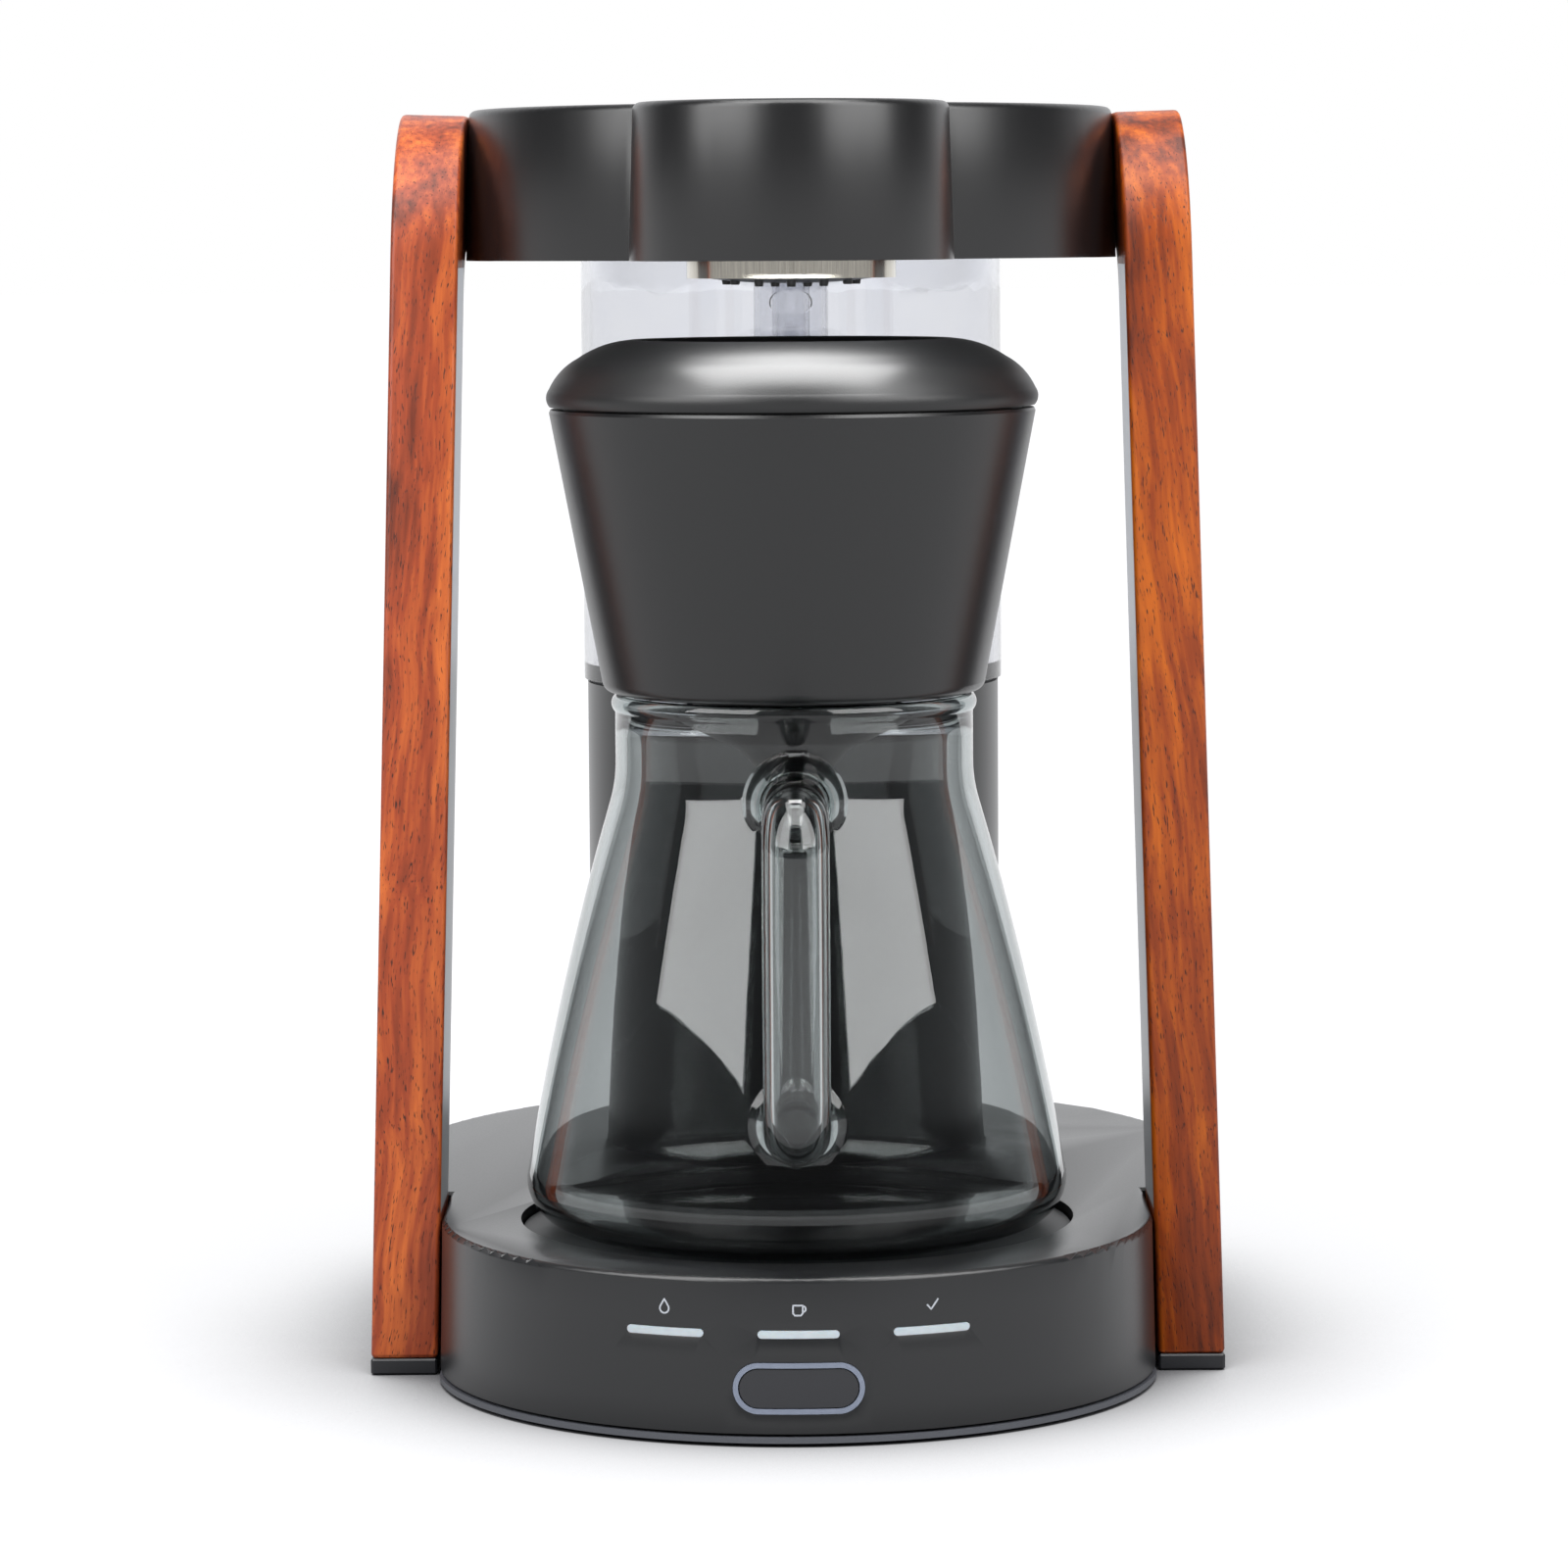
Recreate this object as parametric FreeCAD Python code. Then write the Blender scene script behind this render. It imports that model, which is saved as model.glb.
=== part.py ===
"""Household drip coffee brewer: cast base and deck, wooden legs, clear tank,
glass carafe with its filter holder.

Millimetres. +Z is up, the front faces -Y and +X is to the right of someone who
faces the front. The origin is the centre of the base's footprint on the counter.
Each piece is written to parts/NODE.step as its own solid or group of solids.
"""
import FreeCAD, Part
import math
import os

V = FreeCAD.Vector
UP = V(0, 0, 1)

# ---------------------------------------------------------------- driving sizes
CARAFE_Y = -66.0        # axis of carafe, filter holder and shower
TANK_Y = 66.5           # axis of tank, column and riser
FRONT_R = 94.5          # base front, at the top edge
REAR_R = 112.0          # base rear, at the top edge
REAR_Y = 48.5           # centre of the base's rear arc
NOTCH_Y = -27.6         # front of the base's wide rear body, behind the legs
BASE_TOP = 42.5
BASE_DRAFT = 0.9        # growth of the casting's outline from top to lip
LIP_Z = 3.0             # lower edge of the base casting
WALL = 2.8              # casting wall

WELL_R = 73.5           # recess that the carafe stands in
WELL_FLOOR = 39.1
PAD_TOP = 40.1

DECK_TOP = 336.0
DECK_BOTTOM = 296.1
DECK_R = 86.0           # big round body of the deck
DECK_Y = -29.5
DECK_REAR_Y = 48.5
LOBE_R = 40.0           # round lobe over the front of the carafe
LOBE_Y = -118.5
DECK_DRAFT = 1.2

LEG_FOOT_X = 114.2      # outer face of a leg at the counter
LEG_T = 17.8            # leg thickness
LEG_TILT = 1.73         # degrees that each leg leans inwards
LEG_FRONT_Y = -67.5
LEG_TOP = 335.4
SHOULDER_R = 38.0
ARM_BOTTOM = 299.0
ARM_END_Y = 54.0
FOOT_H = 4.3

TANK_R = 59.9
TANK_WALL = 2.5
TANK_BOTTOM = 176.5
TANK_TOP = 304.0
COLUMN_R = 58.9
FILL_Y = 97.0           # axis of the filling hole
FILL_R = 22.5

SHOWER_R = 27.5
LENS_Z = 28.3           # height of the light bars
LENS_W = 20.6
LENS_H = 2.0
LENS_ANGLE = 20.85      # degrees between neighbouring light bars
BUTTON_Z = 14.6
BUTTON_W = 33.2         # over the lit rim
BUTTON_H = 13.0

GLASS = 2.4             # carafe wall
HANDLE_R = 8.5
HANDLE_BEND = 9.5       # centreline radius of the handle's two bends
GAP = 0.05              # clearance between fitted pieces of one body


# ---------------------------------------------------------------- helpers
def prism(wire, height):
    """Solid standing on a flat wire."""
    return Part.Face(wire).extrude(V(0, 0, height))


def rod(radius, x, y, z0, z1):
    """Upright cylinder from z0 to z1."""
    return Part.makeCylinder(radius, z1 - z0, V(x, y, z0))


def tube(outer, inner, x, y, z0, z1):
    """Upright tube from z0 to z1."""
    return rod(outer, x, y, z0, z1).cut(rod(inner, x, y, z0 - 1, z1 + 1))


def block(x0, x1, y0, y1, z0, z1):
    return Part.makeBox(x1 - x0, y1 - y0, z1 - z0, V(x0, y0, z0))


def fuse_all(shapes):
    body = shapes[0]
    for shape in shapes[1:]:
        body = body.fuse(shape)
    return body.removeSplitter()


def mirrored(shape):
    """The left-hand twin of a right-hand piece."""
    return shape.mirror(V(0, 0, 0), V(1, 0, 0))


def revolve(edges, y):
    """Full turn of a closed profile drawn in the XZ plane, about the axis at y."""
    turned = Part.Face(Part.Wire(edges)).revolve(V(0, 0, 0), UP, 360)
    turned.translate(V(0, y, 0))
    return turned


def polyline(points):
    """Edges of an open line through (r, z) points."""
    return [
        Part.LineSegment(V(a[0], 0, a[1]), V(b[0], 0, b[1])).toShape()
        for a, b in zip(points, points[1:])
    ]


def arc3(a, b, c):
    """Arc through three (r, z) points."""
    return Part.Arc(V(a[0], 0, a[1]), V(b[0], 0, b[1]), V(c[0], 0, c[1])).toShape()


def bent_path(points, radius):
    """Straight runs between points, joined by tangent arcs."""
    pts = [V(*p) for p in points]
    edges = []
    start = pts[0]
    for before, corner, after in zip(pts, pts[1:], pts[2:]):
        into = (corner - before).normalize()
        out = (after - corner).normalize()
        half_turn = into.getAngle(out) / 2
        setback = radius * math.tan(half_turn)
        a = corner - into * setback
        b = corner + out * setback
        inward = (out - into).normalize()
        middle = corner + inward * (radius / math.cos(half_turn) - radius)
        edges.append(Part.LineSegment(start, a).toShape())
        edges.append(Part.Arc(a, middle, b).toShape())
        start = b
    edges.append(Part.LineSegment(start, pts[-1]).toShape())
    return Part.Wire(edges)


def pipe(points, bend, outer, inner=0.0):
    """Round pipe along a bent path, hollow if it has an inner radius."""
    path = bent_path(points, bend)
    along = (V(*points[1]) - V(*points[0])).normalize()

    def swept(radius):
        ring = Part.Wire(Part.makeCircle(radius, V(*points[0]), along))
        return path.makePipeShell([ring], True, False)

    solid = swept(outer)
    if inner:
        solid = solid.cut(swept(inner))
    return solid


def stadium(width, height, depth):
    """Stadium prism centred on the origin, its flat faces across Y."""
    r = height / 2
    half = width / 2 - r
    edges = [
        Part.LineSegment(V(-half, 0, -r), V(half, 0, -r)).toShape(),
        Part.Arc(V(half, 0, -r), V(half + r, 0, 0), V(half, 0, r)).toShape(),
        Part.LineSegment(V(half, 0, r), V(-half, 0, r)).toShape(),
        Part.Arc(V(-half, 0, r), V(-half - r, 0, 0), V(-half, 0, -r)).toShape(),
    ]
    solid = Part.Face(Part.Wire(edges)).extrude(V(0, depth, 0))
    solid.translate(V(0, -depth / 2, 0))
    return solid


# ---------------------------------------------------------------- base
def base_plan(grow, z, front_grow=None):
    """Outline of the base, grown outwards: a front arc, two notches for the
    legs, and a wide rear body with a rounded back."""
    r = FRONT_R + grow
    nose = FRONT_R + (grow if front_grow is None else front_grow)
    back = NOTCH_Y - grow
    side = REAR_R + grow
    corner = 5.0
    diag = corner * (1 - math.sqrt(0.5))
    nose_y = CARAFE_Y - math.sqrt(max(nose * nose - r * r, 0.0))

    def half(s):
        """Points of one side, s is +1 or -1."""
        return [
            V(s * r, nose_y, z),
            V(s * r, back, z),
            V(s * (side - corner), back, z),
            V(s * (side - diag), back + diag, z),
            V(s * side, back + corner, z),
            V(s * side, REAR_Y, z),
        ]

    right, left = half(1), half(-1)
    edges = [Part.Arc(left[0], V(0, CARAFE_Y - nose, z), right[0]).toShape()]
    for side_points in (right, left):
        p = side_points
        edges += [
            Part.LineSegment(p[0], p[1]).toShape(),
            Part.LineSegment(p[1], p[2]).toShape(),
            Part.Arc(p[2], p[3], p[4]).toShape(),
            Part.LineSegment(p[4], p[5]).toShape(),
        ]
    edges.append(Part.Arc(right[5], V(0, REAR_Y + side, z), left[5]).toShape())
    return Part.Wire(Part.__sortEdges__(edges))


def wall_radius(z):
    """Outer radius of the base's front wall at a height."""
    share = (BASE_TOP - z) / (BASE_TOP - LIP_Z)
    return FRONT_R + BASE_DRAFT * share


def lens_prism(index, width, height, depth):
    """Stadium prism that points out through the front wall at one light bar."""
    solid = stadium(width, height, depth)
    solid.translate(V(0, -FRONT_R, LENS_Z))
    solid.rotate(V(0, 0, 0), UP, index * LENS_ANGLE)
    solid.translate(V(0, CARAFE_Y, 0))
    return solid


def button_prism(width, height, y0, y1):
    solid = stadium(width, height, y1 - y0)
    solid.translate(V(0, (y0 + y1) / 2, BUTTON_Z))
    return solid


BOSSES = [(s * x, y) for s in (1, -1) for x, y in ((55, -124), (84, -8), (80, 105))]
FEET = [(0, -143), (0, 143)] + [(s * x, y) for s in (1, -1) for x, y in ((76, -92), (92, 52))]
BOSS_FOOT = 4.0
LEG_BOLTS = [(-48.0, 13.0), (-48.0, 31.0)]
FRONT_Y = CARAFE_Y - FRONT_R


def base_shell():
    lower = base_plan(BASE_DRAFT, LIP_Z)
    upper = base_plan(0, BASE_TOP)
    shell = Part.makeLoft([lower, upper], True, True)
    rim = [
        e for e in shell.Edges
        if all(abs(v.Point.z - BASE_TOP) < 0.01 for v in e.Vertexes)
    ]
    shell = shell.makeFillet(1.4, rim)
    hollow = prism(base_plan(-WALL, LIP_Z - 1), BASE_TOP - WALL - LIP_Z + 1)
    hollow = hollow.cut(rod(WELL_R + 3, 0, CARAFE_Y, WELL_FLOOR - WALL, BASE_TOP))
    bosses = [rod(4.0, x, y, BOSS_FOOT, BASE_TOP - 1) for x, y in BOSSES]
    shell = shell.cut(hollow)
    for boss in bosses:
        shell = shell.fuse(boss)
    shell = shell.cut(rod(WELL_R, 0, CARAFE_Y, WELL_FLOOR, BASE_TOP + 1))
    shell = shell.cut(rod(50.0, 0, TANK_Y, BASE_TOP - WALL - 1, BASE_TOP + 1))
    for x, y in BOSSES:
        shell = shell.cut(rod(1.3, x, y, BOSS_FOOT - 1, 16))
    for index in (-1, 0, 1):
        shell = shell.cut(lens_prism(index, LENS_W + 2 * GAP, LENS_H + 2 * GAP, 12))
    shell = shell.cut(button_prism(BUTTON_W + 2 * GAP, BUTTON_H + 2 * GAP, FRONT_Y - 6, FRONT_Y + 8))
    for y, z in LEG_BOLTS:
        shell = shell.cut(Part.makeCylinder(2.2, 240, V(-120, y, z), V(1, 0, 0)))
    gland = Part.makeCylinder(7.0, 20, V(0, REAR_Y + REAR_R - 12, 20), V(0, 1, 0))
    return shell.cut(gland).removeSplitter()


def base_plate():
    rim_top = LIP_Z - 0.7
    rim = prism(base_plan(0.5, 0.8, 1.5), rim_top - 0.8)
    plate = rim.fuse(prism(base_plan(-WALL - 0.3, rim_top), BOSS_FOOT - rim_top))
    posts = [block(x - 2, x + 2, -146.2, -142, BOSS_FOOT, 36) for x in (-28, 28)]
    posts += [rod(3, x, y, BOSS_FOOT, 8) for x in (-40, 40) for y in (-18, 0)]
    for post in posts:
        plate = plate.fuse(post)
    for x, y in BOSSES:
        plate = plate.cut(rod(3.0, x, y, 0, 2.4)).cut(rod(1.6, x, y, 0, 6))
    for x, y in FEET:
        plate = plate.cut(rod(8.2, x, y, 0, 2.0))
    return plate.removeSplitter()


def base_screws():
    return Part.makeCompound([
        rod(2.8, x, y, 0.9, 2.4).fuse(rod(1.25, x, y, 2.4, 13)) for x, y in BOSSES
    ])


def base_feet():
    return Part.makeCompound([rod(8.0, x, y, 0, 2.0) for x, y in FEET])


def well_pad():
    pad = rod(WELL_R - 0.8, 0, CARAFE_Y, WELL_FLOOR, PAD_TOP)
    return pad.cut(rod(30.0, 0, CARAFE_Y, PAD_TOP - 0.4, PAD_TOP + 1))


def indicator_lens(index):
    bar = lens_prism(index, LENS_W, LENS_H, 12)
    outer = wall_radius(LENS_Z) + 0.12
    return bar.common(tube(outer, FRONT_R - 4.2, 0, CARAFE_Y, LENS_Z - 5, LENS_Z + 5))


def button_light_ring():
    ring = button_prism(BUTTON_W, BUTTON_H, FRONT_Y - 6, FRONT_Y + 6)
    ring = ring.cut(button_prism(BUTTON_W - 2.6, BUTTON_H - 2.6, FRONT_Y - 8, FRONT_Y + 8))
    outer = wall_radius(BUTTON_Z) + 0.1
    return ring.common(tube(outer, FRONT_R - 5, 0, CARAFE_Y, 2, 28))


def brew_button():
    cap = button_prism(BUTTON_W - 3.2, BUTTON_H - 3.2, FRONT_Y - 6, FRONT_Y + 4)
    cap = cap.common(rod(wall_radius(BUTTON_Z) - 0.15, 0, CARAFE_Y, 2, 28))
    stem = Part.makeCylinder(2.0, 3.4, V(0, FRONT_Y + 4, BUTTON_Z), V(0, 1, 0))
    return cap.fuse(stem).removeSplitter()


def control_board():
    board = block(-35, 35, -147.9, -146.3, 6, 36)
    leds = [block(x - 1.6, x + 1.6, -148.6, -147.9, LENS_Z - 1.6, LENS_Z + 1.6) for x in (-30, 0, 30)]
    socket = block(10, 24, -146.3, -140.5, 8, 14)
    return fuse_all([board, socket] + leds)


def tact_switch():
    body = block(-3, 3, -151.2, -147.95, BUTTON_Z - 3, BUTTON_Z + 3)
    plunger = Part.makeCylinder(1.6, 0.7, V(0, -151.9, BUTTON_Z), V(0, 1, 0))
    return body.fuse(plunger).removeSplitter()


def power_board():
    board = block(-46, 46, -24, 6, 8, 9.6)
    transformer = block(-40, -12, -20, 2, 9.6, 30)
    relay = block(2, 20, -18, -4, 9.6, 25)
    capacitor = rod(6, 32, -9, 9.6, 30)
    return fuse_all([board, transformer, relay, capacitor])


def cord_gland():
    """Rubber grommet in the rear wall, where a mains cord would come out."""
    wall = REAR_Y + REAR_R
    stem = Part.makeCylinder(6.9, 9.6, V(0, wall - 6.6, 20), V(0, 1, 0))
    bead = Part.makeCylinder(8.6, 2.2, V(0, wall - 6.6, 20), V(0, 1, 0))
    bore = Part.makeCylinder(3.6, 40, V(0, wall - 20, 20), V(0, 1, 0))
    return stem.fuse(bead).cut(bore).removeSplitter()


# ---------------------------------------------------------------- legs
def lean(shape):
    """Tilts a right-hand leg piece inwards about its foot's outer edge."""
    shape.rotate(V(LEG_FOOT_X, 0, 0), V(0, 1, 0), -LEG_TILT)
    return shape


def leg_rear_y(z, inset=0.0):
    """Rear edge of the upright, which widens slightly towards the foot."""
    return LEG_FRONT_Y + 38.3 - 6.5 * z / ARM_BOTTOM - inset


def leg_profile():
    """Side view of a leg at x = 0: upright, round shoulder and level arm."""
    low = -8.0
    bend = 12.0
    nose = 12.0
    y0, y1 = LEG_FRONT_Y, ARM_END_Y
    rear = leg_rear_y(ARM_BOTTOM - bend)
    s = math.sqrt(0.5)

    def p(y, z):
        return V(0, y, z)

    edges = [
        Part.LineSegment(p(y0, low), p(y0, LEG_TOP - SHOULDER_R)).toShape(),
        Part.Arc(
            p(y0, LEG_TOP - SHOULDER_R),
            p(y0 + SHOULDER_R * (1 - s), LEG_TOP - SHOULDER_R * (1 - s)),
            p(y0 + SHOULDER_R, LEG_TOP),
        ).toShape(),
        Part.LineSegment(p(y0 + SHOULDER_R, LEG_TOP), p(y1 - nose, LEG_TOP)).toShape(),
        Part.Arc(
            p(y1 - nose, LEG_TOP),
            p(y1 - nose * (1 - s), LEG_TOP - nose * (1 - s)),
            p(y1, LEG_TOP - nose),
        ).toShape(),
        Part.LineSegment(p(y1, LEG_TOP - nose), p(y1, ARM_BOTTOM + nose)).toShape(),
        Part.Arc(
            p(y1, ARM_BOTTOM + nose),
            p(y1 - nose * (1 - s), ARM_BOTTOM + nose * (1 - s)),
            p(y1 - nose, ARM_BOTTOM),
        ).toShape(),
        Part.LineSegment(p(y1 - nose, ARM_BOTTOM), p(rear + bend, ARM_BOTTOM)).toShape(),
        Part.Arc(
            p(rear + bend, ARM_BOTTOM),
            p(rear + bend * (1 - s), ARM_BOTTOM - bend * (1 - s)),
            p(rear, ARM_BOTTOM - bend),
        ).toShape(),
        Part.LineSegment(p(rear, ARM_BOTTOM - bend), p(leg_rear_y(low), low)).toShape(),
        Part.LineSegment(p(leg_rear_y(low), low), p(y0, low)).toShape(),
    ]
    return Part.Face(Part.Wire(edges))


LINER_T = 1.0
LINER_INSET = 1.6
LINER_LOW = 44.0
LINER_HIGH = 295.0


def liner_strip(thickness, edge):
    """Strip let into the inner face, before it is leaned with the leg."""
    corners = [
        (LEG_FRONT_Y + edge, LINER_LOW - 0.1 * thickness),
        (leg_rear_y(LINER_LOW, edge), LINER_LOW - 0.1 * thickness),
        (leg_rear_y(285, edge), LINER_HIGH - 14),
        (leg_rear_y(285, edge), LINER_HIGH),
        (LEG_FRONT_Y + edge, LINER_HIGH),
    ]
    x = LEG_FOOT_X - LEG_T
    points = [V(x, y, z) for y, z in corners]
    face = Part.Face(Part.makePolygon(points + points[:1]))
    return face.extrude(V(thickness, 0, 0))


def bolt_hole(y, z, x0, x1, radius):
    return Part.makeCylinder(radius, x1 - x0, V(x0, y, z), V(1, 0, 0))


DECK_BOLTS = [(-14.0, 317.0), (32.0, 317.0)]


def leg():
    solid = leg_profile().extrude(V(LEG_T, 0, 0))
    solid.translate(V(LEG_FOOT_X - LEG_T, 0, 0))
    solid = lean(solid.cut(liner_strip(LINER_T, LINER_INSET)))
    solid = solid.cut(block(60, 140, -120, 120, -20, FOOT_H))
    for y, z in LEG_BOLTS:
        solid = solid.cut(bolt_hole(y, z, 90, 109, 2.05))
    for y, z in DECK_BOLTS:
        solid = solid.cut(bolt_hole(y, z, 80, 100, 2.05))
    return solid


def leg_liner():
    return lean(liner_strip(LINER_T - 0.02, LINER_INSET + GAP))


def leg_foot():
    inner = LEG_FOOT_X - LEG_T
    foot = block(inner + 0.05, LEG_FOOT_X - 0.05, LEG_FRONT_Y, leg_rear_y(0), 0, FOOT_H)
    return foot.makeChamfer(0.5, foot.Edges)


def cross_bolt(y, z, seat, head, reach):
    """Bolt along +X: its head's seat, head length and shank end."""
    shank = bolt_hole(y, z, seat, reach, 2.0)
    return shank.fuse(bolt_hole(y, z, seat - head, seat, 3.8)).removeSplitter()


def both_sides(solids):
    return Part.makeCompound(solids + [mirrored(s) for s in solids])


def base_leg_bolts():
    return both_sides([cross_bolt(y, z, FRONT_R - WALL, 3, 108) for y, z in LEG_BOLTS])


def deck_leg_bolts():
    return both_sides([cross_bolt(y, z, DECK_R - WALL, 3, 99) for y, z in DECK_BOLTS])


# ---------------------------------------------------------------- deck
def deck_plan(grow, z):
    """Outline of the deck: front lobe, big round body, straight sides between
    the arms and a round back."""
    lobe = LOBE_R + grow
    body = DECK_R + grow
    apart = DECK_Y - LOBE_Y
    meet = (apart * apart + lobe * lobe - body * body) / (2 * apart)
    my = LOBE_Y + meet
    mx = math.sqrt(lobe * lobe - meet * meet)
    turn = math.atan2(my - DECK_Y, mx) / 2
    edges = [Part.Arc(V(-mx, my, z), V(0, LOBE_Y - lobe, z), V(mx, my, z)).toShape()]
    for s in (1, -1):
        mid = V(s * body * math.cos(turn), DECK_Y + body * math.sin(turn), z)
        edges += [
            Part.Arc(V(s * mx, my, z), mid, V(s * body, DECK_Y, z)).toShape(),
            Part.LineSegment(V(s * body, DECK_Y, z), V(s * body, DECK_REAR_Y, z)).toShape(),
        ]
    back = V(0, DECK_REAR_Y + body, z)
    edges.append(Part.Arc(V(body, DECK_REAR_Y, z), back, V(-body, DECK_REAR_Y, z)).toShape())
    return Part.Wire(Part.__sortEdges__(edges))


COVER_LOW = DECK_BOTTOM + 0.5
COVER_TOP = COVER_LOW + 3.0
DECK_BOSSES = [(s * x, y) for s in (1, -1) for x, y in ((62, -62), (72, 70))]
CEILING = DECK_TOP - 3.5


def deck_shell():
    lower = deck_plan(DECK_DRAFT, DECK_BOTTOM)
    upper = deck_plan(0, DECK_TOP)
    shell = Part.makeLoft([lower, upper], True, True)
    top = [
        e for e in shell.Edges
        if all(abs(v.Point.z - DECK_TOP) < 0.01 for v in e.Vertexes)
    ]
    shell = shell.makeFillet(2.0, top)
    hollow = prism(deck_plan(-WALL, DECK_BOTTOM - 1), CEILING - DECK_BOTTOM + 1)
    shell = shell.cut(hollow)
    for x, y in DECK_BOSSES:
        shell = shell.fuse(rod(4.0, x, y, COVER_TOP, CEILING + 1))
    for x, y in DECK_BOSSES:
        shell = shell.cut(rod(1.3, x, y, COVER_TOP - 1, COVER_TOP + 10))
    shell = shell.cut(rod(FILL_R + 1.8, 0, FILL_Y, CEILING - 2, DECK_TOP + 2))
    for y, z in DECK_BOLTS:
        shell = shell.cut(bolt_hole(y, z, -100, 100, 2.2))
    return shell.removeSplitter()


def deck_cover():
    cover = prism(deck_plan(-WALL - 0.1, COVER_LOW), COVER_TOP - COVER_LOW)
    cover = cover.cut(rod(TANK_R + 2.15, 0, TANK_Y, COVER_LOW - 1, COVER_TOP + 1))
    cover = cover.cut(rod(SHOWER_R + GAP, 0, CARAFE_Y, COVER_LOW - 1, COVER_TOP + 1))
    for x, y in DECK_BOSSES:
        cover = cover.cut(rod(2.9, x, y, COVER_LOW - 1, COVER_LOW + 1.6))
        cover = cover.cut(rod(1.6, x, y, COVER_LOW - 1, COVER_TOP + 1))
    return cover


def deck_screws():
    return Part.makeCompound([
        rod(2.7, x, y, COVER_LOW + 0.1, COVER_LOW + 1.6).fuse(
            rod(1.25, x, y, COVER_LOW + 1.6, COVER_TOP + 9))
        for x, y in DECK_BOSSES
    ])


def fill_neck():
    return tube(FILL_R + 1.75, FILL_R, 0, FILL_Y, TANK_TOP + 3, DECK_TOP - 0.4)


def tank_lid():
    cap = rod(FILL_R + 5.5, 0, FILL_Y, DECK_TOP + 0.1, DECK_TOP + 3.3)
    cap = cap.makeFillet(1.4, [e for e in cap.Edges if e.Vertexes[0].Point.z > DECK_TOP + 2])
    plug = tube(FILL_R - 0.9, FILL_R - 2.9, 0, FILL_Y, DECK_TOP - 10, DECK_TOP + 0.1)
    groove = tube(FILL_R, FILL_R - 1.7, 0, FILL_Y, DECK_TOP - 7, DECK_TOP - 4.6)
    dish = Part.makeSphere(26, V(0, FILL_Y, DECK_TOP + 3.3 + 24.2))
    return cap.cut(dish).fuse(plug.cut(groove)).removeSplitter()


def lid_seal():
    return tube(FILL_R - 0.4, FILL_R - 1.7 + GAP, 0, FILL_Y, DECK_TOP - 6.95, DECK_TOP - 4.65)


# ---------------------------------------------------------------- shower
def shower_ring():
    sleeve = tube(SHOWER_R, SHOWER_R - 1.6, 0, CARAFE_Y, 291.3, COVER_TOP + 2)
    flange = tube(SHOWER_R + 3.5, SHOWER_R - 1.6, 0, CARAFE_Y, COVER_TOP, COVER_TOP + 1.4)
    return sleeve.fuse(flange).removeSplitter()


def shower_plate():
    r = SHOWER_R - 1.65
    edges = [
        arc3((0, 290.0), (r * 0.6, 290.5), (r, 291.9)),
        *polyline([(r, 291.9), (r, 293.2), (0, 293.2), (0, 290.0)]),
    ]
    plate = revolve(edges, CARAFE_Y)
    for count, ring_r in ((6, 8.5), (12, 17.0)):
        for i in range(count):
            a = 2 * math.pi * i / count
            x, y = ring_r * math.cos(a), CARAFE_Y + ring_r * math.sin(a)
            plate = plate.cut(rod(0.9, x, y, 288, 294))
    return plate.cut(rod(0.9, 0, CARAFE_Y, 288, 294))


CHANNEL_Z = 317.0
CHANNEL_R = 5.5


def shower_manifold():
    cup = rod(SHOWER_R - 1.65, 0, CARAFE_Y, 293.2, 305)
    cup = cup.cut(rod(SHOWER_R - 4, 0, CARAFE_Y, 293, 302.5))
    return cup.cut(rod(CHANNEL_R + GAP, 0, CARAFE_Y, 300, 306))


def water_channel():
    points = [
        (0, TANK_Y, TANK_TOP + 2.5), (0, TANK_Y, CHANNEL_Z),
        (0, CARAFE_Y, CHANNEL_Z), (0, CARAFE_Y, 303),
    ]
    return pipe(points, 9.0, CHANNEL_R, CHANNEL_R - 1.5)


# ---------------------------------------------------------------- tank and column
OUTLET = (26.0, TANK_Y)


def tank_shell():
    cup = rod(TANK_R, 0, TANK_Y, TANK_BOTTOM, TANK_TOP)
    cup = cup.cut(rod(TANK_R - TANK_WALL, 0, TANK_Y, TANK_BOTTOM + 4.5, TANK_TOP + 1))
    cup = cup.cut(rod(5.0, OUTLET[0], OUTLET[1], TANK_BOTTOM - 1, TANK_BOTTOM + 6))
    return cup.cut(rod(5.0, 0, TANK_Y, TANK_BOTTOM - 1, TANK_BOTTOM + 6))


def tank_upper_seal():
    return tube(TANK_R + 2.1, TANK_R + GAP, 0, TANK_Y, COVER_LOW, COVER_TOP)


def tank_lower_seal():
    ring = tube(COLUMN_R - 0.5, COLUMN_R - 6, 0, TANK_Y, TANK_BOTTOM - 1, TANK_BOTTOM)
    return ring


def riser_tube():
    return tube(5.4, 4.0, 0, TANK_Y, TANK_BOTTOM + 4.5, TANK_TOP + 2.5)


def riser_sleeve():
    sleeve = tube(10.6, 9.0, 0, TANK_Y, TANK_BOTTOM + 4.5, TANK_TOP - 4)
    slot = stadium(11.4, 6.6, 8)
    slot.translate(V(0, TANK_Y - 10, 283.3))
    return sleeve.cut(slot)


def column_housing():
    column = rod(COLUMN_R, 0, TANK_Y, BASE_TOP, TANK_BOTTOM - 1)
    column = column.cut(rod(COLUMN_R - 3, 0, TANK_Y, BASE_TOP - 1, TANK_BOTTOM - 4))
    column = column.cut(rod(8.5, OUTLET[0], OUTLET[1], TANK_BOTTOM - 6, TANK_BOTTOM))
    return column.cut(rod(8.5, 0, TANK_Y, TANK_BOTTOM - 6, TANK_BOTTOM))


HEATER_R = 26.0
HEATER_Z = 62.0
HEATER_OUT = (HEATER_R * math.cos(math.radians(260)), TANK_Y + HEATER_R * math.sin(math.radians(260)))


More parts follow.
